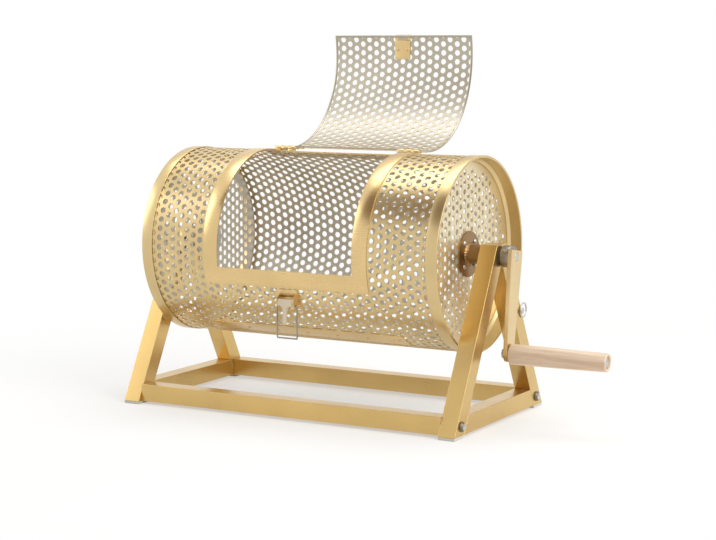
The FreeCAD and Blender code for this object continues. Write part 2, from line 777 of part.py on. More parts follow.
# Crank, drawn straight down from the shaft.
half_head = crank_head / 2
half_foot = crank_foot / 2
arm = body("crank_arm")
arm_plate = sketch(arm, "YZ_Plane", offset=collar_outer)
outline(arm_plate, [
    (-half_head, crank_top),
    (-half_head, -crank_top),
    (-half_foot, -crank_reach),
    (half_foot, -crank_reach),
    (half_head, -crank_top),
    (half_head, crank_top),
])
pad(arm, arm_plate, crank_wall)
arm_end = sketch(arm, "YZ_Plane", offset=collar_outer)
circle(arm_end, 0, -crank_reach, half_foot)
pad(arm, arm_end, crank_wall)
arm_bores = sketch(arm, "YZ_Plane", offset=collar_outer)
circle(arm_bores, 0, 0, shaft_hole)
circle(arm_bores, 0, -crank_reach, grip_bolt_radius + seat_gap)
pocket(arm, arm_bores, crank_wall * 4, middle=True)

WASHER_WALL = 1.2
WASHER_RADIUS = 9
GRIP_SINK = 6
GRIP_SINK_RADIUS = 9
SCREW_HEAD = 7.5
INNER_HEAD = 6.5
grip_start = arm_outer + WASHER_WALL + side_play
grip_end = grip_start + grip_length
sink_face = grip_end - GRIP_SINK
bolt = body("grip_bolt")
turned(bolt, [
    (collar_outer - bolt_head_wall, 0),
    (collar_outer - bolt_head_wall, INNER_HEAD),
    (collar_outer, INNER_HEAD),
    (collar_outer, grip_bolt_radius),
    (sink_face + side_play, grip_bolt_radius),
    (sink_face + side_play, SCREW_HEAD),
    (sink_face + side_play + 3, SCREW_HEAD),
    (sink_face + side_play + 4, SCREW_HEAD - 2),
    (sink_face + side_play + 4, 0),
])
washer = body("grip_washer")
turned(washer, [
    (arm_outer, grip_bolt_radius + seat_gap),
    (arm_outer, WASHER_RADIUS),
    (arm_outer + WASHER_WALL, WASHER_RADIUS),
    (arm_outer + WASHER_WALL, grip_bolt_radius + seat_gap),
])
grip = body("grip")
turned(grip, [
    (grip_start, grip_bolt_radius + running_gap),
    (grip_start, grip_inner_radius - 1.5),
    (grip_start + 1.5, grip_inner_radius),
    (grip_end - 2, grip_outer_radius),
    (grip_end, grip_outer_radius - 2),
    (grip_end, GRIP_SINK_RADIUS),
    (sink_face, GRIP_SINK_RADIUS),
    (sink_face, grip_bolt_radius + running_gap),
])
place(arm, turn=crank_turn.value)
for item in (bolt, washer, grip):
    place(item, z=-crank_reach.value, turn=crank_turn.value, about=(0.0, crank_reach.value))

# Stand

leg_top = axis_height + apex_rise
leg_rise = leg_top - foot_wall
leg_run = foot_reach - apex_half
slope = leg_run / leg_rise
leg_depth = tube * root(leg_rise * leg_rise + leg_run * leg_run) / leg_rise
wall_depth = leg_depth * tube_wall / tube
crotch = leg_top - (leg_depth - apex_half) / slope
hollow_top = axis_height - bush_flange_radius
rail_middle = foot_reach - leg_depth / 2 - tube / 2 * slope
bolt_height = foot_wall + tube / 2
bush_outer = shaft_radius + running_gap + bush_wall
rail_top = foot_wall + tube


def leg_outer(height):
    """Gives the distance of a leg's outer face from the middle, at a height."""
    return foot_reach - (height - foot_wall) * slope


for end, end_side in (("front", -1), ("back", 1)):
    for name, side in (("left", -1), ("right", 1)):
        leg = body(f"leg_{end}_{name}")
        face = sketch(leg, "YZ_Plane")
        outline(face, [
            (end_side * foot_reach, foot_wall),
            (end_side * (foot_reach - leg_depth), foot_wall),
            (0, crotch),
            (0, leg_top),
            (end_side * apex_half, leg_top),
        ])
        pad(leg, face, tube, middle=True)
        hollow = sketch(leg, "YZ_Plane")
        outline(hollow, [
            (end_side * (leg_outer(0) - wall_depth), 0),
            (end_side * (leg_outer(0) - leg_depth + wall_depth), 0),
            (end_side * (leg_outer(hollow_top) - leg_depth + wall_depth), hollow_top),
            (end_side * (leg_outer(hollow_top) - wall_depth), hollow_top),
        ])
        pocket(leg, hollow, tube - 2 * tube_wall, middle=True)
        bores = sketch(leg, "YZ_Plane")
        circle(bores, 0, axis_height, bush_outer + seat_gap)
        circle(bores, end_side * rail_middle, bolt_height, bolt_radius + plug_gap)
        pocket(leg, bores, tube * 2, middle=True)
        place(leg, x=side * frame_place.value)

        foot = body(f"foot_{end}_{name}")
        sole = sketch(foot, "YZ_Plane")
        box_outline(sole, end_side * (foot_reach - leg_depth), end_side * foot_reach, 0, foot_wall)
        pad(foot, sole, tube, middle=True)
        plug = sketch(foot, "YZ_Plane")
        plug_top = foot_wall + foot_plug
        room = wall_depth + plug_gap
        outline(plug, [
            (end_side * (leg_outer(foot_wall - 1) - room), foot_wall - 1),
            (end_side * (leg_outer(foot_wall - 1) - leg_depth + room), foot_wall - 1),
            (end_side * (leg_outer(plug_top) - leg_depth + room), plug_top),
            (end_side * (leg_outer(plug_top) - room), plug_top),
        ])
        pad(foot, plug, tube - 2 * tube_wall - 2 * plug_gap, middle=True)
        place(foot, x=side * frame_place.value)

for name, side in (("left", -1), ("right", 1)):
    rail = body(f"side_rail_{name}")
    face = sketch(rail, "YZ_Plane")
    low_end = foot_reach - leg_depth
    high_end = low_end - tube * slope
    outline(face, [
        (-low_end, foot_wall),
        (low_end, foot_wall),
        (high_end, rail_top),
        (-high_end, rail_top),
    ])
    pad(rail, face, tube, middle=True)
    hollow = sketch(rail, "YZ_Plane")
    box_outline(hollow, -foot_reach, foot_reach, foot_wall + tube_wall, rail_top - tube_wall)
    pocket(rail, hollow, tube - 2 * tube_wall, middle=True)
    place(rail, x=side * frame_place.value)

rail_length = (frame_place - tube / 2) * 2
half_tube = tube / 2
half_hollow = half_tube - tube_wall
for end, end_side in (("front", -1), ("back", 1)):
    rail = body(f"rail_{end}")
    face = sketch(rail, "YZ_Plane")
    middle = end_side * rail_middle
    box_outline(face, middle - half_tube, middle + half_tube, foot_wall, rail_top)
    box_outline(face, middle - half_hollow, middle + half_hollow,
                foot_wall + tube_wall, rail_top - tube_wall)
    pad(rail, face, rail_length, middle=True)

# A threaded plate closes each end of the long rails, and a bolt through the foot holds it.
BOLT_HEAD_WALL = 4
BOLT_END = 3
plates = []
bolts = []
insert = tube - 2 * tube_wall - 2 * plug_gap
inner_face = frame_place.value - tube.value / 2
outer_face = frame_place.value + tube.value / 2
for end_side in (-1, 1):
    for side in (-1, 1):
        y = end_side * rail_middle.value
        z = bolt_height.value
        block = doc.addObject("Part::Box", f"plate_block_{len(plates)}")
        bind(block, "Length", plate_wall)
        bind(block, "Width", insert)
        bind(block, "Height", insert)
        start = inner_face - plate_wall.value if side > 0 else -inner_face
        block.Placement.Base = FreeCAD.Vector(start, y - insert.value / 2, z - insert.value / 2)
        bore = rod(f"plate_bore_{len(plates)}", bolt_radius + seat_gap, plate_wall * 3,
                   start - plate_wall.value, y, z)
        plate = doc.addObject("Part::Cut", f"plate_{len(plates)}")
        plate.Base = block
        plate.Tool = bore
        plates.append(plate)
        shank_length = tube + plate_wall + BOLT_END
        shank_start = outer_face - shank_length.value if side > 0 else -outer_face
        shank = rod(f"bolt_shank_{len(bolts)}", bolt_radius, shank_length, shank_start, y, z)
        head_start = outer_face if side > 0 else -outer_face - BOLT_HEAD_WALL
        head = rod(f"bolt_head_{len(bolts)}", bolt_head_radius, BOLT_HEAD_WALL, head_start, y, z)
        bolt = doc.addObject("Part::Fuse", f"bolt_{len(bolts)}")
        bolt.Base = shank
        bolt.Tool = head
        bolts.append(bolt)
compound("rail_end_plates", plates)
compound("stand_bolts", bolts)

for name, side in (("left", -1), ("right", 1)):
    bush = body(f"bush_{name}")
    turned(bush, mirrored([
        (frame_place - tube / 2, shaft_radius + running_gap),
        (frame_place - tube / 2, bush_outer),
        (frame_place + tube / 2, bush_outer),
        (frame_place + tube / 2, bush_flange_radius),
        (bush_face, bush_flange_radius),
        (bush_face, shaft_radius + running_gap),
    ], side))

# A small wire ring stands behind the right back leg, held by one screw.
RING_SCREW = 1.8
RING_SCREW_HEAD = 4.5
RING_SCREW_WALL = 2
ring_height = axis_height.value - ring_drop.value
ring_y = leg_outer(as_size(ring_height)).value + 3
ring_x = outer_face + ring_wire.value + 0.1
ring = body("keeper_ring")
WIRE_SIDES = 8
ring_section = []
for index in range(WIRE_SIDES):
    angle = 360 / WIRE_SIDES * (index + 0.5)
    ring_section.append((ring_wire * cosine(angle), ring_radius + ring_wire * sine(angle)))
turned(ring, ring_section)
place(ring, x=ring_x, y=ring_y, z=ring_height)
screw_y = ring_y - ring_radius.value + ring_wire.value + RING_SCREW + 0.1
screw = body("keeper_screw")
head_seat = 2 * ring_wire.value + 0.2
turned(screw, [
    (0, 0),
    (0, RING_SCREW),
    (head_seat, RING_SCREW),
    (head_seat, RING_SCREW_HEAD),
    (head_seat + RING_SCREW_WALL, RING_SCREW_HEAD),
    (head_seat + RING_SCREW_WALL, 0),
])
place(screw, x=outer_face, y=screw_y, z=ring_height)

doc.recompute()

# Seats: the drum's pieces go up to the shaft's height, and the door's pieces are thrown open.
height = axis_height.value
pivot = FreeCAD.Vector(0, pin_y.value, pin_z.value)
thrown = FreeCAD.Rotation(X_AXIS, -door_open.value)
DOOR_PIECES = ["door_panel", "door_hinge_left", "door_hinge_right", "door_hinge_rivets",
               "door_catch", "catch_plate", "catch_rivets"]
STAND_PIECES = ["side_rail", "leg_", "foot_", "rail_", "stand_bolts", "keeper_"]
for item in parts:
    if item.Label in DOOR_PIECES:
        swing = FreeCAD.Placement(pivot - thrown.multVec(pivot), thrown)
        item.Placement = swing * item.Placement
    if not item.Label.startswith(tuple(STAND_PIECES)):
        item.Placement.Base = item.Placement.Base + FreeCAD.Vector(0, 0, height)
doc.recompute()

# The origin is the middle of the whole footprint, on the table.
extent = FreeCAD.BoundBox()
for item in parts:
    extent.add(item.Shape.optimalBoundingBox(False))
shift = FreeCAD.Vector(-extent.Center.x, -extent.Center.y, 0)
for item in parts:
    item.Placement.Base = item.Placement.Base + shift
doc.recompute()

for item in doc.Objects:
    if "Invalid" in item.State or "Error" in item.State:
        raise RuntimeError(f"{item.Name} failed: {item.State}")
for item in parts:
    if item.Shape.isNull() or not item.Shape.isValid():
        raise RuntimeError(f"{item.Label} has no valid shape")

os.makedirs("parts", exist_ok=True)
for item in parts:
    item.Shape.exportStep(f"parts/{item.Label}.step")


def metres(y, z, x=0.0):
    return [round((x + shift.x) / 1000, 6), round((y + shift.y) / 1000, 6), round(z / 1000, 6)]


print("sub-parts", len(parts))
print("extent", [round(value, 2) for value in (extent.XLength, extent.YLength, extent.ZLength)])
print("lowest", round(extent.ZMin, 4))
print("shaft", metres(0, height))
print("door pins", metres(pin_y.value, height + pin_z.value))
print("latch lever", metres(lever_y.value, height + lever_z.value))
print("latch loop", metres(loop_y.value, height + loop_z.value))
tilt = math.radians(crank_turn.value)
grip_y = math.sin(tilt) * crank_reach.value
grip_z = -math.cos(tilt) * crank_reach.value
print("grip", metres(grip_y, height + grip_z, arm_outer.value))
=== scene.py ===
import json
import math

import bmesh
import bpy
from mathutils import Matrix, Vector


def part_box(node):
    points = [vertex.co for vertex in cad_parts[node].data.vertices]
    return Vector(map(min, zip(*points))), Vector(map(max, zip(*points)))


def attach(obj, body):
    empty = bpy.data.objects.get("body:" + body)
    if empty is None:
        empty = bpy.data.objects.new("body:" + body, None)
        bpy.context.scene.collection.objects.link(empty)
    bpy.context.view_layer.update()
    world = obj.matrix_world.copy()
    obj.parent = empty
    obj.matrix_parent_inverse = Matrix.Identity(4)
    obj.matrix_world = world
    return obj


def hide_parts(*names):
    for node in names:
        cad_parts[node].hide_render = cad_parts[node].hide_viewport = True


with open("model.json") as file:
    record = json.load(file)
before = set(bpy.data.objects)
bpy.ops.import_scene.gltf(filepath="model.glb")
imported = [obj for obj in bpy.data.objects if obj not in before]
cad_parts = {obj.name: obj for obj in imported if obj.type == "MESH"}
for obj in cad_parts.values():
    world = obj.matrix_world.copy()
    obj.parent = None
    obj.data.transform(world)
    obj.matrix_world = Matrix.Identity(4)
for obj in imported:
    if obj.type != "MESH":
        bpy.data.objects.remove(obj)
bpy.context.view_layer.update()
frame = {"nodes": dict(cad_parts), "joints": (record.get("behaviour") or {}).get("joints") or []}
joints = {joint["name"]: joint for joint in frame["joints"]}
middle = Vector(joints["drum_spin"]["pos_m"])


# Camera and studio. The drum stands on a plain pale floor that runs out into white. Three soft
# boxes and a pale room light it. Bright metal shows the white room, and one glowing brown board,
# which only reflections show, paints a dark reflection where the front leg mirrors it.
TURN = math.radians(29.42)
PITCH = math.radians(7.05)
EYE_FROM_STAND = Vector((1.2975, -2.2258, 0.5142))
FOCAL_PIXELS = 1806.6
PICTURE_PIXELS = 716
SENSOR = 36
eye = bpy.data.objects.new("camera", bpy.data.cameras.new("camera"))
bpy.context.collection.objects.link(eye)
eye.location = Vector((middle.x, middle.y, 0)) + EYE_FROM_STAND
eye.rotation_euler = (math.radians(90) - PITCH, 0, TURN)
eye.data.sensor_width = SENSOR
eye.data.lens = FOCAL_PIXELS / PICTURE_PIXELS * SENSOR
bpy.context.scene.camera = eye
bpy.context.scene.view_settings.view_transform = "Standard"


def softbox(name, place, target, width, height, power, color):
    """Hangs one rectangular soft lamp that faces a place on the object."""
    lamp = bpy.data.objects.new(name, bpy.data.lights.new(name, "AREA"))
    lamp.data.shape = "RECTANGLE"
    lamp.data.size = width
    lamp.data.size_y = height
    lamp.data.energy = power
    lamp.data.color = color
    lamp.location = place
    lamp.rotation_euler = (Vector(target) - Vector(place)).to_track_quat("-Z", "Y").to_euler()
    bpy.context.collection.objects.link(lamp)


softbox("box_crank_side", (2.0, -0.5, 1.5), (0, 0, 0.25), 1.6, 1.6, 27, (1.0, 0.98, 0.95))
softbox("box_top", (-0.4, 0.5, 2.2), (0, 0, 0.2), 1.8, 1.1, 16, (1.0, 0.99, 0.97))
softbox("box_front_left", (-2.2, -1.1, 1.35), (0, 0, 0.25), 1.0, 1.4, 11, (1.0, 0.99, 0.97))


class Shade:
    """One socket of a material, so that sums on it are written as sums."""

    def __init__(self, tree, socket=None):
        self.tree = tree
        self.socket = socket

    def node(self, kind, settings=(), values=(), output=0):
        """Adds a node: its settings first, then the values or links of its sockets."""
        made = self.tree.nodes.new(kind)
        for setting, value in dict(settings).items():
            if setting != "stops":
                setattr(made, setting, value)
                continue
            ramp = made.color_ramp.elements
            while len(ramp) < len(value):
                ramp.new(0.5)
            for element, (place, color) in zip(ramp, value):
                element.position = place
                element.color = color
        for place, value in dict(values).items():
            if isinstance(value, Shade):
                self.tree.links.new(value.socket, made.inputs[place])
            else:
                made.inputs[place].default_value = value
        return Shade(self.tree, made.outputs[output])

    def sum(self, operation, first, second):
        return self.node("ShaderNodeMath", {"operation": operation}, {0: first, 1: second})

    def __add__(self, other):
        return self.sum("ADD", self, other)

    __radd__ = __add__

    def __mul__(self, other):
        return self.sum("MULTIPLY", self, other)

    __rmul__ = __mul__


def bright_ray(start):
    """Is 1 for rays that meet plain white: from the camera, off metal, through clear stuff."""
    camera, glossy, through = (start.node("ShaderNodeLightPath", output=f"Is {ray} Ray")
                               for ray in ("Camera", "Glossy", "Transmission"))
    return start.node("ShaderNodeMath", {"operation": "ADD", "use_clamp": True},
                      {0: camera + glossy, 1: through})


ROOM_GLOW = 0.42
GLOW_TO_CRANK = 0.42
GLOW_TO_TOP = 0.3
GLOW_TO_BACK = 0.16
world = bpy.data.worlds.new("studio")
world.use_nodes = True
bpy.context.scene.world = world
room = Shade(world.node_tree)
heading = room.node("ShaderNodeTexCoord", output="Generated")
side, depth, rise = (room.node("ShaderNodeSeparateXYZ", values={0: heading}, output=axis)
                     for axis in "XYZ")
glow = room.node("ShaderNodeMath", {"operation": "ADD", "use_clamp": True},
                 {0: ROOM_GLOW + side * GLOW_TO_CRANK + rise * GLOW_TO_TOP,
                  1: depth * GLOW_TO_BACK})
strength = room.node("ShaderNodeMix", {"data_type": "FLOAT"},
                     {0: bright_ray(room), 2: glow, 3: 1.0})
backdrop = world.node_tree.nodes["Background"]
backdrop.inputs["Color"].default_value = (1, 1, 1, 1)
world.node_tree.links.new(strength.socket, backdrop.inputs["Strength"])


def finish(name, color, roughness, metallic=0.0):
    """Starts a material. What is the same all over it stands on the shader's own sockets."""
    material = bpy.data.materials.new(name)
    material.use_nodes = True
    shader = material.node_tree.nodes["Principled BSDF"]
    shader.inputs["Base Color"].default_value = (*color, 1)
    shader.inputs["Roughness"].default_value = roughness
    shader.inputs["Metallic"].default_value = metallic
    return material


def feed(material, socket, value):
    """Links a worked-out value to a socket of the material's shader."""
    shader = material.node_tree.nodes["Principled BSDF"]
    material.node_tree.links.new(value.socket, shader.inputs[socket])


FADE_FROM = 0.45
FADE_TO = 1.15
WHITE_NEAR = 0.45
floor_finish = finish("floor", (0.93, 0.93, 0.92), 0.9)
ground = Shade(floor_finish.node_tree)
spot = ground.node("ShaderNodeTexCoord", output="Object")
reach = ground.node("ShaderNodeVectorMath", {"operation": "LENGTH"}, {0: spot}, output="Value")
fade = ground.node("ShaderNodeMapRange", {"interpolation_type": "SMOOTHSTEP"},
                   {"Value": reach, "From Min": FADE_FROM, "From Max": FADE_TO})
whiter = bright_ray(ground) * (WHITE_NEAR + (1 - WHITE_NEAR) * fade)
white = ground.node("ShaderNodeEmission", values={"Strength": 1.0})
floor_light = Shade(ground.tree, ground.tree.nodes["Principled BSDF"].outputs[0])
faded = ground.node("ShaderNodeMixShader", values={0: whiter, 1: floor_light, 2: white})
ground.tree.links.new(faded.socket, ground.tree.nodes["Material Output"].inputs["Surface"])
bm = bmesh.new()
bmesh.ops.create_grid(bm, x_segments=2, y_segments=2, size=9)
floor_mesh = bpy.data.meshes.new("floor")
bm.to_mesh(floor_mesh)
bm.free()
floor_mesh.materials.append(floor_finish)
floor = bpy.data.objects.new("floor", floor_mesh)
bpy.context.collection.objects.link(floor)


# The colour of a painted dark reflection in the bright metal.
PAINTED_REFLECTION_BROWN = (0.13, 0.055, 0.018)


def dark_reflection_board(name, spot, facing, width, height):
    """Hangs a glowing brown board that only glossy rays see, to paint a dark reflection on metal.
    """
    paint = finish(name, (0, 0, 0), 0.8)
    shader = paint.node_tree.nodes["Principled BSDF"]
    shader.inputs["Emission Color"].default_value = (*PAINTED_REFLECTION_BROWN, 1)
    shader.inputs["Emission Strength"].default_value = 1.0
    bm = bmesh.new()
    bmesh.ops.create_grid(bm, x_segments=1, y_segments=1, size=0.5)
    bmesh.ops.scale(bm, vec=(width, height, 1), verts=bm.verts)
    toward = (Vector(facing) - Vector(spot)).to_track_quat("Z", "Y").to_matrix().to_4x4()
    bmesh.ops.transform(bm, matrix=Matrix.Translation(spot) @ toward, verts=bm.verts)
    mesh = bpy.data.meshes.new(name)
    bm.to_mesh(mesh)
    bm.free()
    mesh.materials.append(paint)
    board = bpy.data.objects.new(name, mesh)
    bpy.context.collection.objects.link(board)
    for ray in ("camera", "diffuse", "transmission", "shadow", "volume_scatter"):
        setattr(board, f"visible_{ray}", False)


# Painted dark reflection: the front leg's upper face mirrors this glowing brown board.
dark_reflection_board("painted_reflection_leg", (-0.095, -0.52, 0.87), (0.18, -0.08, 0.19), 0.56, 0.5)


# Drum sheet. Punched steel, rolled round and plated: bright gold outside, silver grey inside.
# The holes stand in staggered columns, so 64 of them close the round without a break.
AROUND = 64
COLUMNS = 41
DRUM_RADIUS = 0.135
DRUM_LENGTH = 0.470
HOLE_PITCH = 2 * math.pi * DRUM_RADIUS / AROUND
COLUMN_PITCH = HOLE_PITCH * math.sqrt(3) / 2
HOLE_RADIUS = 0.0043
HOLE_SIDES = 12
SHEET = 0.001
OPENING_BACK = 75
OPENING_FRONT = 189.75
OPENING_HALF = 0.108
GOLD = (0.71, 0.54, 0.27)
SILVER = (0.70, 0.66, 0.58)


def two_toned(material, share, color, shade):
    """Lets the colour run over into a darker tone of itself where the share is high."""
    darker = [value * shade for value in color]
    mixed = share.node("ShaderNodeMix", {"data_type": "RGBA"},
                       {0: share, 6: (*color, 1), 7: (*darker, 1)}, output=2)
    feed(material, "Base Color", mixed)


def bumped(material, height, strength, distance):
    """Makes the face of a material as rough as a texture is high."""
    bump = height.node("ShaderNodeBump", values={"Strength": strength, "Distance": distance,
                                                 "Height": height})
    feed(material, "Normal", bump)


def plated(name, color, shade, roughness, metallic=0.92, drawn_along=(18, 420, 420)):
    """Plating: clouds of a darker tone, fine scratches one way, uneven gloss."""
    material = finish(name, color, roughness, metallic)
    start = Shade(material.node_tree)
    place = start.node("ShaderNodeTexCoord", output="Object")
    clouds = start.node("ShaderNodeTexNoise", values={"Vector": place, "Scale": 14, "Detail": 3})
    drawn = start.node("ShaderNodeMapping", values={"Vector": place, "Scale": drawn_along})
    scratches = start.node("ShaderNodeTexNoise", values={"Vector": drawn, "Scale": 1, "Detail": 2})
    tone = start.node("ShaderNodeMapRange",
                      values={"Value": clouds, "From Min": 0.35, "From Max": 0.75})
    two_toned(material, tone, color, shade)
    feed(material, "Roughness", roughness - 0.07 + clouds * 0.08 + scratches * 0.08)
    bumped(material, scratches, 0.04, 0.0004)
    return material


gold_sheet = plated("gold_sheet", GOLD, 0.86, 0.30)
silver_sheet = plated("silver_sheet", SILVER, 0.90, 0.36, 0.8)


def verts_of(geometry):
    return [item for item in geometry if isinstance(item, bmesh.types.BMVert)]


def punched(spans):
    """Makes a flat punched sheet of six-sided cells, each with a round hole.

    Columns of cells stand along X and their rows along Y. Each column has its own span of rows.
    """
    corner = HOLE_PITCH / math.sqrt(3)
    bm = bmesh.new()
    bmesh.ops.create_circle(bm, cap_ends=False, segments=HOLE_SIDES, radius=HOLE_RADIUS)
    ring = bmesh.ops.extrude_edge_only(bm, edges=bm.edges[:])
    for vert in verts_of(ring["geom"]):
        step = round(math.atan2(vert.co.y, vert.co.x) / (2 * math.pi) * HOLE_SIDES)
        vert.co = vert.co.normalized() * (corner if step % 2 == 0 else HOLE_PITCH / 2)
    line = [bm.verts[:] + bm.edges[:] + bm.faces[:]]
    for row in range(1, max(last for first, last in spans)):
        copy = bmesh.ops.duplicate(bm, geom=line[0])["geom"]
        bmesh.ops.translate(bm, vec=(0, row * HOLE_PITCH, 0), verts=verts_of(copy))
        line.append(copy)
    for column, (first, last) in enumerate(spans):
        cells = [item for cell in line[first:last] for item in cell]
        copy = bmesh.ops.duplicate(bm, geom=cells)["geom"]
        across = (column - (len(spans) - 1) / 2) * COLUMN_PITCH
        along = HOLE_PITCH / 2 * (column % 2)
        bmesh.ops.translate(bm, vec=(across, along, 0), verts=verts_of(copy))
    pattern = [vert for cell in line for vert in verts_of(cell)]
    bmesh.ops.delete(bm, geom=pattern, context="VERTS")
    bmesh.ops.remove_doubles(bm, verts=bm.verts, dist=1e-5)
    return bm


def near(bm, low, high):
    """Everything of a flat sheet between two corners, a cell wider all round."""
    faces = []
    for face in bm.faces:
        spot = face.calc_center_median()
        if low[0] - HOLE_PITCH < spot.x < high[0] + HOLE_PITCH:
            if low[1] - HOLE_PITCH < spot.y < high[1] + HOLE_PITCH:
                faces.append(face)
    edges = {edge for face in faces for edge in face.edges}
    verts = {vert for face in faces for vert in face.verts}
    return faces + list(edges) + list(verts)


def trim(bm, place, normal, clear=True, part=None):
    """Cuts a sheet along a plane, and drops what is beyond it."""
    everything = part or bm.verts[:] + bm.edges[:] + bm.faces[:]
    bmesh.ops.bisect_plane(bm, geom=everything, dist=1e-6, plane_co=place, plane_no=normal,
                           clear_outer=clear)


def drop_inside(bm, low, high):
    """Drops the faces of a flat sheet that lie between two corners."""
    inside = []
    for face in bm.faces:
        spot = face.calc_center_median()
        if low[0] < spot.x < high[0] and low[1] < spot.y < high[1]:
            inside.append(face)
    bmesh.ops.delete(bm, geom=inside, context="FACES")


def cut_window(bm, low, high):
    """Cuts a rectangular window out of a flat punched sheet."""
    for place, normal in (((low[0], 0, 0), (1, 0, 0)), ((high[0], 0, 0), (1, 0, 0)),
                          ((0, low[1], 0), (0, 1, 0)), ((0, high[1], 0), (0, 1, 0))):
        trim(bm, place, normal, clear=False, part=near(bm, low, high))
    drop_inside(bm, low, high)


def rolled(bm, radius, flat_radius):
    """Rolls a flat sheet round the shaft, so that its +Y becomes the way round."""
    for vert in bm.verts:
        angle = vert.co.y / flat_radius
        reach = radius + vert.co.z
        vert.co = Vector((middle.x + vert.co.x, middle.y + reach * math.cos(angle),
                          middle.z + reach * math.sin(angle)))


def thicken(bm, thickness):
    """Gives a sheet its wall, on the side that its faces point away from."""
    bmesh.ops.remove_doubles(bm, verts=bm.verts, dist=1e-5)
    bmesh.ops.recalc_face_normals(bm, faces=bm.faces)
    bmesh.ops.solidify(bm, geom=bm.faces[:], thickness=thickness)


def shaft_distance(spot):
    """How far a place lies from the line of the drum's shaft."""
    return math.hypot(spot.y - middle.y, spot.z - middle.z)


def piece(name, bm, finishes, body, replaced=(), sharp=35, flat_faces=False):
    """Turns a mesh into a named piece that rides on a body and stands for its solids."""
    mesh = bpy.data.meshes.new(name)
    bm.to_mesh(mesh)
    bm.free()
    mesh.shade_smooth()
    mesh.set_sharp_from_angle(angle=math.radians(sharp))
    for material in finishes:
        mesh.materials.append(material)
    made = bpy.data.objects.new(name, mesh)
    bpy.context.collection.objects.link(made)
    if flat_faces:
        made.modifiers.new("flat_faces", "WEIGHTED_NORMAL").keep_sharp = True
    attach(made, body)
    if replaced:
        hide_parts(*replaced)
    return made


bm = punched([(0, AROUND)] * COLUMNS)
cut_window(bm, (-OPENING_HALF, math.radians(OPENING_BACK) * DRUM_RADIUS),
           (OPENING_HALF, math.radians(OPENING_FRONT) * DRUM_RADIUS))
trim(bm, (DRUM_LENGTH / 2, 0, 0), (1, 0, 0))
trim(bm, (-DRUM_LENGTH / 2, 0, 0), (-1, 0, 0))
rolled(bm, DRUM_RADIUS, DRUM_RADIUS)
thicken(bm, SHEET)
for face in bm.faces:
    reach = shaft_distance(face.calc_center_median())
    face.material_index = int(reach < DRUM_RADIUS - SHEET * 0.75)
piece("drum_sheet", bm, [gold_sheet, silver_sheet], "drum", ["drum_shell"])


# End caps. Each is a pressed disc with the same holes, sunk behind a rim that is rolled over the
# drum sheet's edge. Sheet steel, plated as the drum. The discs are given a paler gold than the
# drum's, which is painted light.
DISC_FACE = 0.216
CAP_SHEET = 0.0012
DISC_BACK = 0.2148
DISC_EDGE = 0.1275
HOLES_OUT_TO = 0.1165
HALF_COUNT = 10
UNDER_HUB = 0.021
LONGEST_HOLE_EDGE = HOLE_RADIUS * 0.53
# Painted light: the discs' gold is a paler copy of the drum's gold.
painted_light_gold_sheet = plated("painted_light_gold_sheet", (0.84, 0.72, 0.48), 0.90, 0.34,
                         drawn_along=(420, 420, 18))
CAP_RIM = [(DISC_BACK, 0.1265), (DISC_BACK, 0.1300), (0.2187, 0.13395), (0.23505, 0.13395),
           (0.23505, 0.13505), (0.2190, 0.13505), (0.2190, 0.13625), (0.23625, 0.13625),
           (0.23625, 0.13275), (0.2200, 0.13275), (DISC_FACE, 0.1288), (DISC_FACE, 0.1265)]


def turned(profile, line, rounding=0.0, steps=96, sides=3):
    """Turns a closed outline of (X, radius) pairs about a line along X through a place."""
    bm = bmesh.new()
    corners = [bm.verts.new((line.x + x, line.y, line.z + radius)) for x, radius in profile]
    face = bm.faces.new(corners)
    if rounding:
        bmesh.ops.bevel(bm, geom=[vert for vert in corners if vert.co.z - line.z > 1e-6],
                        offset=rounding, segments=sides, profile=0.5, affect="VERTICES",
                        material=-1, clamp_overlap=True)
    edges = bm.edges[:]
    bmesh.ops.delete(bm, geom=bm.faces[:], context="FACES_ONLY")
    bmesh.ops.spin(bm, geom=edges, cent=line, axis=(1, 0, 0), dvec=(0, 0, 0),
                   angle=math.radians(360), steps=steps, use_merge=True, use_duplicate=False)
    bmesh.ops.remove_doubles(bm, verts=bm.verts, dist=1e-6)
    bmesh.ops.recalc_face_normals(bm, faces=bm.faces)
    return bm


def mirrored(profile, side):
    """An outline as it is drawn (1), or mirrored in X (-1)."""
    return [(x * side, radius) for x, radius in profile]


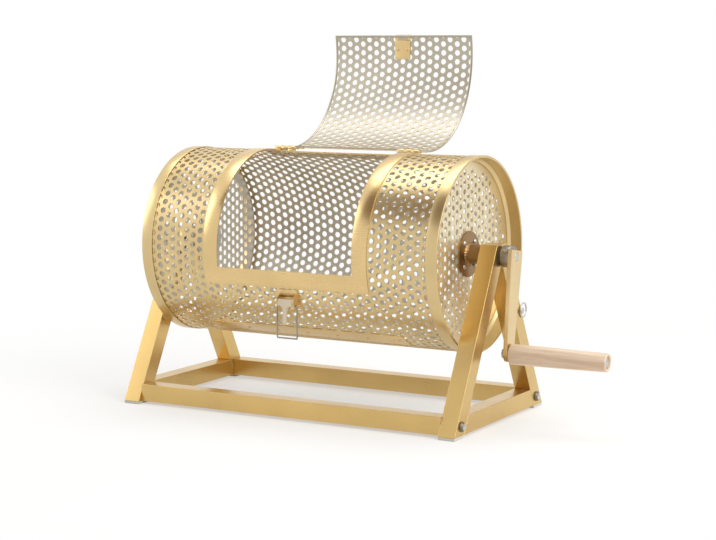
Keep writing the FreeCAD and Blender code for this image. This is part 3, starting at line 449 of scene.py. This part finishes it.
for name, side in (("left", -1), ("right", 1)):
    spans = []
    for column in range(-HALF_COUNT, HALF_COUNT + 1):
        rows = []
        for row in range(2 * HALF_COUNT + 1):
            y = (row - HALF_COUNT + ((column + HALF_COUNT) % 2) / 2) * HOLE_PITCH
            if math.hypot(column * COLUMN_PITCH, y) < HOLES_OUT_TO:
                rows.append(row)
        spans.append((rows[0], rows[-1] + 1))
    bm = punched(spans)
    bmesh.ops.translate(bm, vec=(0, -HALF_COUNT * HOLE_PITCH, 0), verts=bm.verts)
    outside = []
    for edge in bm.edges:
        if edge.is_boundary and edge.calc_length() > LONGEST_HOLE_EDGE:
            if min(vert.co.length for vert in edge.verts) > HOLES_OUT_TO - HOLE_PITCH:
                outside.append(edge)
    circle = bmesh.ops.create_circle(bm, cap_ends=False, segments=96, radius=DISC_EDGE)
    round_edges = list({edge for vert in circle["verts"] for edge in vert.link_edges})
    bmesh.ops.triangle_fill(bm, use_beauty=True, edges=outside + round_edges)
    hidden = [face for face in bm.faces if face.calc_center_median().length < UNDER_HUB]
    bmesh.ops.delete(bm, geom=hidden, context="FACES")
    bmesh.ops.remove_doubles(bm, verts=bm.verts, dist=1e-5)
    for vert in bm.verts:
        vert.co = Vector((middle.x + side * DISC_FACE, middle.y + vert.co.x, middle.z + vert.co.y))
    bmesh.ops.recalc_face_normals(bm, faces=bm.faces)
    if (bm.faces[0].normal.x > 0) != (side > 0):
        bmesh.ops.reverse_faces(bm, faces=bm.faces)
    bmesh.ops.solidify(bm, geom=bm.faces[:], thickness=CAP_SHEET)
    for face in bm.faces:
        depth = (face.calc_center_median().x - middle.x) * side
        face.material_index = int(depth < DISC_FACE - CAP_SHEET * 0.9)
    piece(f"end_disc_{name}", bm, [painted_light_gold_sheet, silver_sheet], "drum",
          [f"end_cap_{name}"])
    bm = turned(mirrored(CAP_RIM, side), middle, rounding=0.0007, steps=128)
    piece(f"end_rim_{name}", bm, [gold_sheet], "drum", [f"end_cap_{name}"])


# Plain bands. Flat steel strip, rolled to the drum and riveted on it round the door opening and
# over the sheet's long seam. Their edges are broken a little.
BAND_INSIDE = 0.13505
BAND_WALL = 0.001
BAND_BACK = 64.4
BAND_FRONT = 200.35
BAND_HALF = 0.131
SEAM_START = 233
SEAM_STOP = 246
SEAM_HALF = 0.158
BEND_STEP = 2.5
gold_strip = plated("gold_strip", (0.76, 0.555, 0.265), 0.90, 0.27)


def rolled_plate(left, right, start, stop, inside, wall, window=None, rounding=0.00025):
    """Rolls a flat plate round the shaft, with a window if its two corners are given.

    A corner is an X and an angle. All angles are in degrees.
    """
    bm = bmesh.new()
    flat = inside + wall / 2
    low = math.radians(start) * flat
    high = math.radians(stop) * flat
    bmesh.ops.create_grid(bm, x_segments=1, y_segments=1, size=0.5)
    bmesh.ops.scale(bm, vec=(right - left, high - low, 1), verts=bm.verts)
    bmesh.ops.translate(bm, vec=((left + right) / 2, (low + high) / 2, 0), verts=bm.verts)
    if window:
        corners = [(x, math.radians(angle) * flat) for x, angle in window]
        for x, y in corners:
            trim(bm, (x, 0, 0), (1, 0, 0), clear=False)
            trim(bm, (0, y, 0), (0, 1, 0), clear=False)
        drop_inside(bm, *corners)
    steps = max(2, round((stop - start) / BEND_STEP))
    for step in range(1, steps):
        trim(bm, (0, low + (high - low) * step / steps, 0), (0, 1, 0), clear=False)
    bmesh.ops.recalc_face_normals(bm, faces=bm.faces)
    bmesh.ops.solidify(bm, geom=bm.faces[:], thickness=wall)
    lowest = min(vert.co.z for vert in bm.verts)
    bmesh.ops.translate(bm, vec=(0, 0, -lowest), verts=bm.verts)
    sharp = [item for item in bm.edges if item.calc_face_angle(0) > math.radians(60)]
    bmesh.ops.bevel(bm, geom=sharp, offset=rounding, segments=2, profile=0.5, affect="EDGES",
                    material=-1, clamp_overlap=True)
    rolled(bm, inside, flat)
    bmesh.ops.recalc_face_normals(bm, faces=bm.faces)
    return bm


bm = rolled_plate(-BAND_HALF, BAND_HALF, BAND_BACK, BAND_FRONT, BAND_INSIDE, BAND_WALL,
                  window=((-OPENING_HALF, OPENING_BACK), (OPENING_HALF, OPENING_FRONT)))
piece("opening_band", bm, [gold_strip], "drum", ["opening_frame"])
bm = rolled_plate(-SEAM_HALF, SEAM_HALF, SEAM_START, SEAM_STOP, BAND_INSIDE, BAND_WALL)
piece("seam_band", bm, [gold_strip], "drum", ["seam_strip"])


def repeated(template, places):
    """Sets copies of a small mesh in these places and joins them."""
    mesh = bpy.data.meshes.new("template")
    template.to_mesh(mesh)
    template.free()
    bm = bmesh.new()
    for place in places:
        before = len(bm.verts)
        bm.from_mesh(mesh)
        bm.verts.ensure_lookup_table()
        bmesh.ops.transform(bm, matrix=place, verts=bm.verts[before:])
    bpy.data.meshes.remove(mesh)
    return bm


def standing(x, angle, reach):
    """The place of something that stands straight out from the drum, drawn along +X."""
    spot = Matrix.Translation(middle + Vector((x, 0, 0)))
    turn = Matrix.Rotation(math.radians(angle), 4, "X") @ Matrix.Rotation(math.radians(90), 4, "Z")
    return spot @ turn @ Matrix.Translation((reach, 0, 0))


ORIGIN = Vector((0, 0, 0))
RIVET_HEAD = 0.0022
RIVET_RISE = 0.001


def rivet_head(radius, rise):
    """One domed rivet head on its flat seat, drawn along +X from the origin."""
    dome = [(0, 0), (0, radius), (rise * 0.35, radius), (rise, radius * 0.55), (rise, 0)]
    return turned(dome, ORIGIN, rounding=rise * 0.3, steps=20, sides=2)


def rivet_heads(name, places, body, node):
    """Sets the small plated heads of a row of rivets."""
    heads = repeated(rivet_head(RIVET_HEAD, RIVET_RISE), places)
    piece(name, heads, [gold_strip], body, [node])


SEAM_RIVETS = 7
SEAM_RIVET_REACH = 0.146
places = []
for index in range(SEAM_RIVETS):
    x = (2 * index / (SEAM_RIVETS - 1) - 1) * SEAM_RIVET_REACH
    places.append(standing(x, (SEAM_START + SEAM_STOP) / 2, BAND_INSIDE + BAND_WALL))
rivet_heads("seam_rivet_heads", places, "drum", "seam_rivets")


# Hubs. A turned sleeve is welded on a round flange, which four rivets clamp on the end disc
# against a plate inside. A stub shaft with a head on its inner end goes through all of them.
zinc = plated("zinc", (0.60, 0.59, 0.56), 0.82, 0.33, 0.9)
# Painted shade: the hubs take a much darker gold than the drum, for the shade over them.
painted_shade_gold = plated("painted_shade_gold", (0.34, 0.205, 0.085), 0.80, 0.30)
BORE = 0.00605
FLANGE_FACE = DISC_FACE + 0.0025
FLANGE_RADIUS = 0.0320
PLATE_FACE = 0.2123
HUB = [(DISC_FACE, BORE), (DISC_FACE, FLANGE_RADIUS), (FLANGE_FACE, FLANGE_RADIUS),
       (FLANGE_FACE, 0.0168), (0.2197, 0.0160), (0.2210, 0.0148), (0.2219, 0.0130),
       (0.2410, 0.0130), (0.2410, BORE)]
INNER_PLATE = [(PLATE_FACE, BORE), (PLATE_FACE, FLANGE_RADIUS), (DISC_BACK, FLANGE_RADIUS),
               (DISC_BACK, BORE)]
SHAFT_RADIUS = 0.006
SHAFT_HEAD = 0.0100
WELD_TOP = 0.2216
WELD_INSIDE = 0.0133
WELD_RIPPLES = 26
WELD_RIPPLE = 0.00022
for name, side, shaft_end in (("left", -1, 0.2859), ("right", 1, 0.2899)):
    bm = turned(mirrored(HUB, side), middle, rounding=0.0004, steps=208, sides=2)
    for vert in bm.verts:
        along = (vert.co.x - middle.x) * side
        reach = shaft_distance(vert.co)
        if FLANGE_FACE + 0.0003 < along < WELD_TOP and reach > WELD_INSIDE:
            turn = math.atan2(vert.co.z - middle.z, vert.co.y - middle.y)
            swell = 1 + WELD_RIPPLE * math.sin(turn * WELD_RIPPLES) / reach
            vert.co.y = middle.y + (vert.co.y - middle.y) * swell
            vert.co.z = middle.z + (vert.co.z - middle.z) * swell
    piece(f"hub_{name}_turned", bm, [painted_shade_gold], "drum", [f"hub_{name}"])
    bm = turned(mirrored(INNER_PLATE, side), middle, rounding=0.0003, steps=72, sides=2)
    piece(f"hub_plate_{name}", bm, [zinc], "drum", [f"inner_plate_{name}"])
    shaft = [(0.2073, 0), (0.2073, SHAFT_HEAD), (PLATE_FACE, SHAFT_HEAD),
             (PLATE_FACE, SHAFT_RADIUS), (shaft_end - 0.0006, SHAFT_RADIUS),
             (shaft_end, SHAFT_RADIUS - 0.0006), (shaft_end, 0.0016), (shaft_end - 0.0012, 0)]
    bm = turned(mirrored(shaft, side), middle, rounding=0.0002, steps=48, sides=1)
    piece(f"shaft_{name}_turned", bm, [zinc], "drum", [f"shaft_{name}"])

HUB_RIVETS = 4
HUB_RIVET_CIRCLE = 0.023
places = []
for side in (-1, 1):
    for index in range(HUB_RIVETS):
        turn = math.radians(45 + 360 / HUB_RIVETS * index)
        y = HUB_RIVET_CIRCLE * math.cos(turn)
        z = HUB_RIVET_CIRCLE * math.sin(turn)
        for reach, heading in ((FLANGE_FACE, side), (PLATE_FACE, -side)):
            facing = Matrix.Rotation(0 if heading > 0 else math.pi, 4, "Z")
            spot = Matrix.Translation(middle + Vector((side * reach, y, z)))
            places.append(spot @ facing)
heads = repeated(rivet_head(0.0035, 0.002), places)
piece("hub_rivet_heads", heads, [zinc], "drum", ["hub_rivets"])


# Shaft collars. A plated ring outside each bush keeps the drum from sliding, and a hexagon socket
# screw in its side bites on the shaft.
dull_steel = plated("dull_steel", (0.34, 0.30, 0.25), 0.85, 0.34)
COLLAR_RADIUS = 0.0150
COLLAR = [(0.2709, BORE), (0.2709, COLLAR_RADIUS), (0.2839, COLLAR_RADIUS), (0.2839, BORE)]
SCREW_PLACE = 0.2774
SCREW_ANGLE = 140
SET_SCREW = [(0.0135, 0), (0.0135, 0.0024), (0.0152, 0.0024), (0.0152, 0.0013), (0.0142, 0.0013),
             (0.0142, 0)]
for name, side in (("left", -1), ("right", 1)):
    bm = turned(mirrored(COLLAR, side), middle, rounding=0.0009, steps=72, sides=3)
    piece(f"collar_{name}_ring", bm, [dull_steel], "drum", [f"collar_{name}"])
    screw = turned(SET_SCREW, ORIGIN, rounding=0.00015, steps=24, sides=1)
    bm = repeated(screw, [standing(side * SCREW_PLACE, SCREW_ANGLE, 0)])
    piece(f"collar_{name}_screw", bm, [zinc], "drum", [f"collar_{name}"])


# Door. The same punched sheet, rolled a little wider, with a narrow folded edge all round.
# It is drawn shut and thrown open about its hinge pins, as the photograph shows it.
DOOR_HALF = 0.117
DOOR_INSIDE = 0.1366
DOOR_BACK = 76
DOOR_FRONT = 192.3
DOOR_COLUMNS = 21
HEM = 0.0034
HEM_WALL = 0.0003
IN_HEM = 0.001
IN_HEM_ANGLE = 0.3
pale_sheet = plated("pale_sheet", (0.53, 0.49, 0.40), 0.93, 0.44, 0.85)
dull_strip = plated("dull_strip", (0.46, 0.42, 0.33), 0.85, 0.36)
pins = Vector(joints["door_hinge"]["pos_m"])
thrown = (Matrix.Translation(pins) @ Matrix.Rotation(math.radians(-180), 4, "X")
          @ Matrix.Translation(-pins))
flat_door = DOOR_INSIDE + SHEET / 2
rows = math.ceil(math.radians(DOOR_FRONT - DOOR_BACK) * flat_door / HOLE_PITCH) + 2
bm = punched([(0, rows)] * DOOR_COLUMNS)
bmesh.ops.translate(bm, vec=(0, math.radians(DOOR_BACK) * flat_door, 0), verts=bm.verts)
trim(bm, (DOOR_HALF - IN_HEM, 0, 0), (1, 0, 0))
trim(bm, (IN_HEM - DOOR_HALF, 0, 0), (-1, 0, 0))
trim(bm, (0, math.radians(DOOR_FRONT - IN_HEM_ANGLE) * flat_door, 0), (0, 1, 0))
trim(bm, (0, math.radians(DOOR_BACK + IN_HEM_ANGLE) * flat_door, 0), (0, -1, 0))
rolled(bm, DOOR_INSIDE + SHEET, flat_door)
thicken(bm, SHEET)
for face in bm.faces:
    reach = shaft_distance(face.calc_center_median())
    face.material_index = int(reach < DOOR_INSIDE + SHEET / 4)
bmesh.ops.transform(bm, matrix=thrown, verts=bm.verts)
piece("door_sheet", bm, [gold_sheet, pale_sheet], "door", ["door_panel"])
hem_angle = math.degrees(HEM / flat_door)
bm = rolled_plate(-DOOR_HALF, DOOR_HALF, DOOR_BACK, DOOR_FRONT, DOOR_INSIDE - HEM_WALL,
                  SHEET + 2 * HEM_WALL, rounding=0.0005,
                  window=((HEM - DOOR_HALF, DOOR_BACK + hem_angle),
                          (DOOR_HALF - HEM, DOOR_FRONT - hem_angle)))
bmesh.ops.transform(bm, matrix=thrown, verts=bm.verts)
piece("door_hem", bm, [dull_strip], "door", ["door_panel"])


# Hinges. Two small plated hinges join the door to the drum. Each has a leaf riveted on the
# opening's band with two knuckles, a leaf riveted on the door with the knuckle between them, and a
# pin.
HINGE_ANGLE = 74
HINGE_PLACE = 0.102
HINGE_HALF = 0.017
HINGE_WALL = 0.0012
KNUCKLE = 0.0032
KNUCKLE_LENGTH = 0.0334 / 3
DRUM_LEAF = 0.1361
DOOR_LEAF = 0.13765
DOOR_LEAF_START = 76.6
LEAF_ANGLE = 8
PIN_RADIUS = 0.0015
hinge_line = Vector((middle.x, pins.y, pins.z))


def joined(meshes):
    """Joins meshes that make up one piece."""
    whole = bmesh.new()
    for bm in meshes:
        mesh = bpy.data.meshes.new("share")
        bm.to_mesh(mesh)
        bm.free()
        whole.from_mesh(mesh)
        bpy.data.meshes.remove(mesh)
    return whole


def barrel(start, bore):
    """One knuckle, turned about the pins."""
    stop = start + KNUCKLE_LENGTH
    return turned([(start, bore), (start, KNUCKLE), (stop, KNUCKLE), (stop, bore)], hinge_line,
                  rounding=0.0003, steps=28, sides=2)


for name, side in (("left", -1), ("right", 1)):
    seat = side * HINGE_PLACE
    first = seat - HINGE_HALF
    last = seat + HINGE_HALF
    shares = [rolled_plate(first, last, HINGE_ANGLE - LEAF_ANGLE, HINGE_ANGLE, DRUM_LEAF,
                           HINGE_WALL)]
    for start in (first, last - KNUCKLE_LENGTH):
        shares.append(rolled_plate(start, start + KNUCKLE_LENGTH, HINGE_ANGLE - 0.9,
                                   HINGE_ANGLE + 0.9, DRUM_LEAF, 0.0028))
        shares.append(barrel(start, 0.00155))
    piece(f"hinge_{name}_drum_leaf", joined(shares), [gold_strip], "drum",
          [f"drum_hinge_{name}"])
    middle_start = seat - KNUCKLE_LENGTH / 2
    leaf = rolled_plate(first, last, DOOR_LEAF_START, DOOR_LEAF_START + LEAF_ANGLE, DOOR_LEAF,
                        HINGE_WALL)
    web = rolled_plate(middle_start, middle_start + KNUCKLE_LENGTH, HINGE_ANGLE,
                       DOOR_LEAF_START + 1, DOOR_LEAF, HINGE_WALL)
    bm = joined([leaf, web, barrel(middle_start, 0.00156)])
    bmesh.ops.transform(bm, matrix=thrown, verts=bm.verts)
    piece(f"hinge_{name}_door_leaf", bm, [gold_strip], "door",
          [f"door_hinge_{name}"])
    pin_end = HINGE_HALF + 0.001
    pin = [(seat - pin_end, 0), (seat - pin_end, PIN_RADIUS), (seat + pin_end, PIN_RADIUS),
           (seat + pin_end, 0)]
    bm = turned(pin, hinge_line, rounding=0.0004, steps=24, sides=2)
    piece(f"hinge_{name}_pin", bm, [zinc], "drum", [f"hinge_pin_{name}"])

HINGE_RIVET_SPREAD = 0.010
HINGE_RIVET_ANGLE = 5
drum_places = []
door_places = []
for side in (-1, 1):
    for step in (-1, 1):
        x = side * HINGE_PLACE + step * HINGE_RIVET_SPREAD
        on_drum = standing(x, HINGE_ANGLE - HINGE_RIVET_ANGLE, DRUM_LEAF + HINGE_WALL)
        on_door = standing(x, DOOR_LEAF_START + HINGE_RIVET_ANGLE, DOOR_LEAF + HINGE_WALL)
        drum_places.append(on_drum)
        door_places.append(thrown @ on_door)
rivet_heads("hinge_rivets_drum", drum_places, "drum", "drum_hinge_rivets")
rivet_heads("hinge_rivets_door", door_places, "door", "door_hinge_rivets")


# Catch. A strap riveted on the door's free edge is turned up into a hook for the latch's wire
# loop, and a plain gold plate inside the door backs it.
BACKING_HALF = 0.013
BACKING_INSIDE = 0.13535
BACKING_START = 177
BACKING_STOP = 189.2
CATCH_RIVET_SPREAD = 0.008
CATCH_RIVET_ANGLE = 183.5
CATCH_RIVET_INSIDE = 0.1353


def softened(node, width, segments=3, shortest=0.0):
    """Takes a copy of a solid's mesh, merges it and rounds its outer edges."""
    bm = bmesh.new()
    bm.from_mesh(frame["nodes"][node].data)
    bmesh.ops.remove_doubles(bm, verts=bm.verts, dist=1e-6)
    bmesh.ops.dissolve_limit(bm, angle_limit=math.radians(0.5), verts=bm.verts, edges=bm.edges)
    sharp = []
    for item in bm.edges:
        if not item.is_manifold or item.calc_length() < shortest:
            continue
        if item.is_convex and item.calc_face_angle() > math.radians(35):
            sharp.append(item)
    bmesh.ops.bevel(bm, geom=sharp, offset=width, segments=segments, profile=0.5, affect="EDGES",
                    material=-1, clamp_overlap=True)
    return bm


piece("catch_hook", softened("door_catch", 0.0003, 2), [gold_strip], "door",
      ["door_catch"])
bm = rolled_plate(-BACKING_HALF, BACKING_HALF, BACKING_START, BACKING_STOP, BACKING_INSIDE,
                  HINGE_WALL)
bmesh.ops.transform(bm, matrix=thrown, verts=bm.verts)
piece("catch_backing", bm, [gold_strip], "door", ["catch_plate"])
places = []
for x in (-CATCH_RIVET_SPREAD, CATCH_RIVET_SPREAD):
    inner = standing(x, CATCH_RIVET_ANGLE, CATCH_RIVET_INSIDE)
    places.append(thrown @ standing(x, CATCH_RIVET_ANGLE, DOOR_LEAF + HINGE_WALL))
    places.append(thrown @ inner @ Matrix.Rotation(math.pi, 4, "Z"))
rivet_heads("catch_rivet_heads", places, "door", "catch_rivets")


# Latch. A plated base with two ears is riveted under the opening. A thumb lever turns on a pin
# between the ears, and a bent wire loop turns in their lower holes.
latch_spot = Vector(joints["latch_lever_hinge"]["pos_m"])
loop_spot = Vector(joints["latch_loop_hinge"]["pos_m"])
piece("latch_seat", softened("latch_base", 0.00035, 2), [gold_strip], "drum",
      ["latch_base"], flat_faces=True)
warm_steel = plated("warm_steel", (0.66, 0.56, 0.41), 0.85, 0.32)
piece("latch_thumb_lever", softened("latch_lever", 0.0004, 2), [warm_steel], "latch_lever",
      ["latch_lever"], flat_faces=True)
CROSS_PIN_HEAD = 0.0023
half = [(0.0135, PIN_RADIUS), (0.0135, CROSS_PIN_HEAD), (0.0145, CROSS_PIN_HEAD), (0.0145, 0)]
cross_pin = mirrored(reversed(half), -1) + half
bm = turned(cross_pin, latch_spot, rounding=0.0003, steps=24, sides=2)
piece("latch_cross_pin", bm, [zinc], "drum", ["latch_pin"])
LATCH_RIVET_SPREAD = 0.0095
LATCH_RIVET_ANGLE = 203.1
LATCH_RIVET_SEAT = 0.13625
places = [standing(x, LATCH_RIVET_ANGLE, LATCH_RIVET_SEAT)
          for x in (-LATCH_RIVET_SPREAD, LATCH_RIVET_SPREAD)]
rivet_heads("latch_rivet_heads", places, "drum", "latch_rivets")


def bent_wire(line, radius):
    """Draws a round wire along a smooth line that has these control points."""
    curve = bpy.data.curves.new("wire", "CURVE")
    curve.dimensions = "3D"
    curve.bevel_depth = radius
    curve.bevel_resolution = 3
    curve.use_fill_caps = True
    spline = curve.splines.new("NURBS")
    spline.points.add(len(line) - 1)
    for point, spot in zip(spline.points, line):
        point.co = (*spot, 1)
    spline.order_u = 3
    spline.use_endpoint_u = True
    spline.resolution_u = 5
    drawn = bpy.data.objects.new("wire", curve)
    mesh = bpy.data.meshes.new_from_object(drawn)
    bm = bmesh.new()
    bm.from_mesh(mesh)
    bpy.data.objects.remove(drawn)
    bpy.data.curves.remove(curve)
    bpy.data.meshes.remove(mesh)
    bmesh.ops.remove_doubles(bm, verts=bm.verts, dist=1e-6)
    bmesh.ops.recalc_face_normals(bm, faces=bm.faces)
    return bm


LOOP_HALF = 0.016
LOOP_LENGTH = 0.046
LOOP_WIRE = 0.0011
BEND = 0.0024
half = [(0.0120, 0), (LOOP_HALF - BEND, 0), (LOOP_HALF, 0), (LOOP_HALF, -BEND),
        (LOOP_HALF, BEND - LOOP_LENGTH), (LOOP_HALF, -LOOP_LENGTH),
        (LOOP_HALF - BEND, -LOOP_LENGTH)]
route = half + mirrored(reversed(half), -1)
wire_line = [loop_spot + Vector((x, 0, z)) for x, z in route]
piece("latch_wire", bent_wire(wire_line, LOOP_WIRE), [dull_steel], "latch_loop",
      ["latch_loop"])


# Crank. A flat tapered steel arm sits on the shaft's end. A bolt through its foot carries a washer
# and a turned wooden grip that spins on it.
ARM_FACE = 0.2899
GRIP_START = 0.2915
GRIP_END = 0.4315
SINK_FACE = 0.4255
grip_spot = Vector(joints["grip_spin"]["pos_m"])
crank_line = Vector((middle.x, grip_spot.y, grip_spot.z))
gold_arm = plated("gold_arm", (0.78, 0.60, 0.32), 0.88, 0.26, drawn_along=(420, 420, 18))
piece("crank_flat_arm", softened("crank_arm", 0.0012, 3), [gold_arm], "drum",
      ["crank_arm"], flat_faces=True)
bm = turned([(0.2789, 0), (0.2789, 0.0065), (0.2839, 0.0065), (0.2839, 0.0040), (0.4259, 0.0040),
             (0.4259, 0.0075), (0.4289, 0.0075), (0.4299, 0.0055), (0.4299, 0.0026),
             (0.4279, 0.0022), (0.4279, 0)], crank_line, rounding=0.0004, steps=48, sides=2)
piece("grip_bolt_turned", bm, [zinc], "drum", ["grip_bolt"])
bm = turned([(ARM_FACE, 0.00405), (ARM_FACE, 0.0090), (0.2911, 0.0090), (0.2911, 0.00405)],
            crank_line, rounding=0.0003, steps=48, sides=2)
piece("grip_washer_ring", bm, [zinc], "drum", ["grip_washer"])

wood = finish("plain_wood", (0.80, 0.61, 0.44), 0.62)
start = Shade(wood.node_tree)
place = start.node("ShaderNodeTexCoord", output="Object")
along = start.node("ShaderNodeMapping", values={"Vector": place, "Scale": (5, 95, 95)})
rings = start.node("ShaderNodeTexNoise", values={"Vector": along, "Scale": 1, "Detail": 4})
fine = start.node("ShaderNodeMapping", values={"Vector": place, "Scale": (60, 1500, 1500)})
pores = start.node("ShaderNodeTexNoise", values={"Vector": fine, "Scale": 1, "Detail": 2})
grain = start.node("ShaderNodeMapRange", values={"Value": rings * 0.8 + pores * 0.2,
                                                 "From Min": 0.36, "From Max": 0.68})
tone = start.node("ShaderNodeValToRGB", {"stops": [
    (0.0, (0.63, 0.45, 0.31, 1)), (0.5, (0.79, 0.63, 0.48, 1)), (1.0, (0.88, 0.75, 0.61, 1))]},
    {0: grain})
feed(wood, "Base Color", tone)
feed(wood, "Roughness", 0.56 + pores * 0.16)
bumped(wood, pores, 0.25, 0.0003)
bm = turned([(GRIP_START, 0.0041), (GRIP_START, 0.0140), (0.3300, 0.01385), (0.3800, 0.0133),
             (GRIP_END, 0.0125), (GRIP_END, 0.0090), (SINK_FACE, 0.0090), (SINK_FACE, 0.0041)],
            crank_line, rounding=0.0016, steps=72, sides=4)
piece("wooden_grip", bm, [wood], "grip", ["grip"])


# Stand. Square steel tube with rounded edges, cut on the slant and welded, plated as the drum.
# The long rails are bolted between the two A-shaped ends.
TUBE_GOLD = (0.69, 0.475, 0.185)
gold_leg = plated("gold_leg", TUBE_GOLD, 0.88, 0.24, drawn_along=(420, 420, 18))
gold_side_rail = plated("gold_side_rail", TUBE_GOLD, 0.88, 0.24, drawn_along=(420, 18, 420))
gold_long_rail = plated("gold_long_rail", TUBE_GOLD, 0.88, 0.24)
for gold_tube, nodes in (
        (gold_leg, ("leg_front_left", "leg_back_left", "leg_front_right", "leg_back_right")),
        (gold_side_rail, ("side_rail_left", "side_rail_right")),
        (gold_long_rail, ("rail_front", "rail_back"))):
    for node in nodes:
        piece(f"{node}_tube", softened(node, 0.0019, shortest=0.014), [gold_tube], "stand",
              [node], flat_faces=True)


# Fittings of the stand. Moulded caps close the legs' feet and dark flanged bushes carry the shaft.
# Bolts with round heads hold the long rails, in threaded plates inside the rails' ends.
def moulded(name, color, roughness):
    """Moulded plastic: a faint mottle in its tone and a finely pitted face."""
    material = finish(name, color, roughness)
    start = Shade(material.node_tree)
    place = start.node("ShaderNodeTexCoord", output="Object")
    mottle = start.node("ShaderNodeTexNoise", values={"Vector": place, "Scale": 60, "Detail": 3})
    pits = start.node("ShaderNodeTexNoise", values={"Vector": place, "Scale": 1400, "Detail": 2})
    two_toned(material, mottle, color, 0.86)
    feed(material, "Roughness", roughness - 0.08 + pits * 0.16)
    bumped(material, pits, 0.2, 0.0003)
    return material


foot_plastic = moulded("foot_grey", (0.66, 0.64, 0.58), 0.55)
bush_plastic = moulded("bush_dark", (0.06, 0.052, 0.045), 0.48)
for node in ("foot_front_left", "foot_back_left", "foot_front_right", "foot_back_right"):
    piece(f"{node}_cap", softened(node, 0.0011), [foot_plastic], "stand", [node],
          flat_faces=True)
BUSH_BORE = 0.00606
BUSH_RADIUS = 0.00806
BUSH_FLANGE = 0.0130
BUSH = [(0.2425, BUSH_BORE), (0.2425, BUSH_RADIUS), (0.2675, BUSH_RADIUS), (0.2675, BUSH_FLANGE),
        (0.2705, BUSH_FLANGE), (0.2705, BUSH_BORE)]
for name, side in (("left", -1), ("right", 1)):
    bm = turned(mirrored(BUSH, side), middle, rounding=0.0005, steps=64, sides=2)
    piece(f"bush_{name}_flanged", bm, [bush_plastic], "stand", [f"bush_{name}"])

dark_steel = plated("dark_steel", (0.21, 0.18, 0.13), 0.80, 0.38, 0.85)
low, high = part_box("stand_bolts")
BOLT_LENGTH = 0.032
BOLT_HEAD = 0.0070
BOLT_HEAD_WALL = 0.004
BOLT_RADIUS = 0.0030
BOLT_CROWN = 0.0046
BOLT = [(-BOLT_LENGTH, 0), (-BOLT_LENGTH, 0.0026), (-BOLT_LENGTH + 0.0005, BOLT_RADIUS),
        (0, BOLT_RADIUS), (0, BOLT_HEAD), (BOLT_HEAD_WALL * 0.45, BOLT_HEAD),
        (BOLT_HEAD_WALL, BOLT_CROWN), (BOLT_HEAD_WALL, BOLT_RADIUS), (0.0022, 0.0026), (0.0022, 0)]
places = []
for x, heading in ((low.x + BOLT_HEAD_WALL, math.pi), (high.x - BOLT_HEAD_WALL, 0)):
    for y in (low.y + BOLT_HEAD, high.y - BOLT_HEAD):
        places.append(Matrix.Translation((x, y, (low.z + high.z) / 2))
                      @ Matrix.Rotation(heading, 4, "Z"))
template = turned(BOLT, ORIGIN, rounding=0.0005, steps=32, sides=2)
for face in template.faces:
    spot = face.calc_center_median()
    face.material_index = int(math.hypot(spot.y, spot.z) < BOLT_CROWN)
piece("stand_bolt_heads", repeated(template, places), [dark_steel, zinc], "stand",
      ["stand_bolts"])
piece("rail_threaded_plates", softened("rail_end_plates", 0.0004, 2), [zinc], "stand",
      ["rail_end_plates"])


# Keeper ring. A small wire ring is held on the right back leg by one round-headed screw.
low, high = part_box("keeper_ring")
ring_middle = (low + high) / 2
RING_WIRE = 0.001104
RING_RADIUS = 0.0099
bm = bmesh.new()
section = (Matrix.Translation(ring_middle + Vector((0, 0, RING_RADIUS)))
           @ Matrix.Rotation(math.radians(90), 4, "X"))
bmesh.ops.create_circle(bm, cap_ends=False, segments=12, radius=RING_WIRE, matrix=section)
bmesh.ops.spin(bm, geom=bm.edges[:], cent=ring_middle, axis=(1, 0, 0), dvec=(0, 0, 0),
               angle=math.radians(360), steps=48, use_merge=True, use_duplicate=False)
bmesh.ops.remove_doubles(bm, verts=bm.verts, dist=1e-6)
bmesh.ops.recalc_face_normals(bm, faces=bm.faces)
piece("keeper_wire", bm, [zinc], "stand", ["keeper_ring"])
low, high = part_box("keeper_screw")
screw_line = Vector((low.x, (low.y + high.y) / 2, (low.z + high.z) / 2))
bm = turned([(0, 0), (0, 0.0018), (0.0026, 0.0018), (0.0026, 0.0045), (0.0036, 0.0045),
             (0.0046, 0.0028), (0.0046, 0.0014), (0.0034, 0.0011), (0.0034, 0)], screw_line,
            rounding=0.0002, steps=32, sides=2)
piece("keeper_round_screw", bm, [zinc], "stand", ["keeper_screw"])
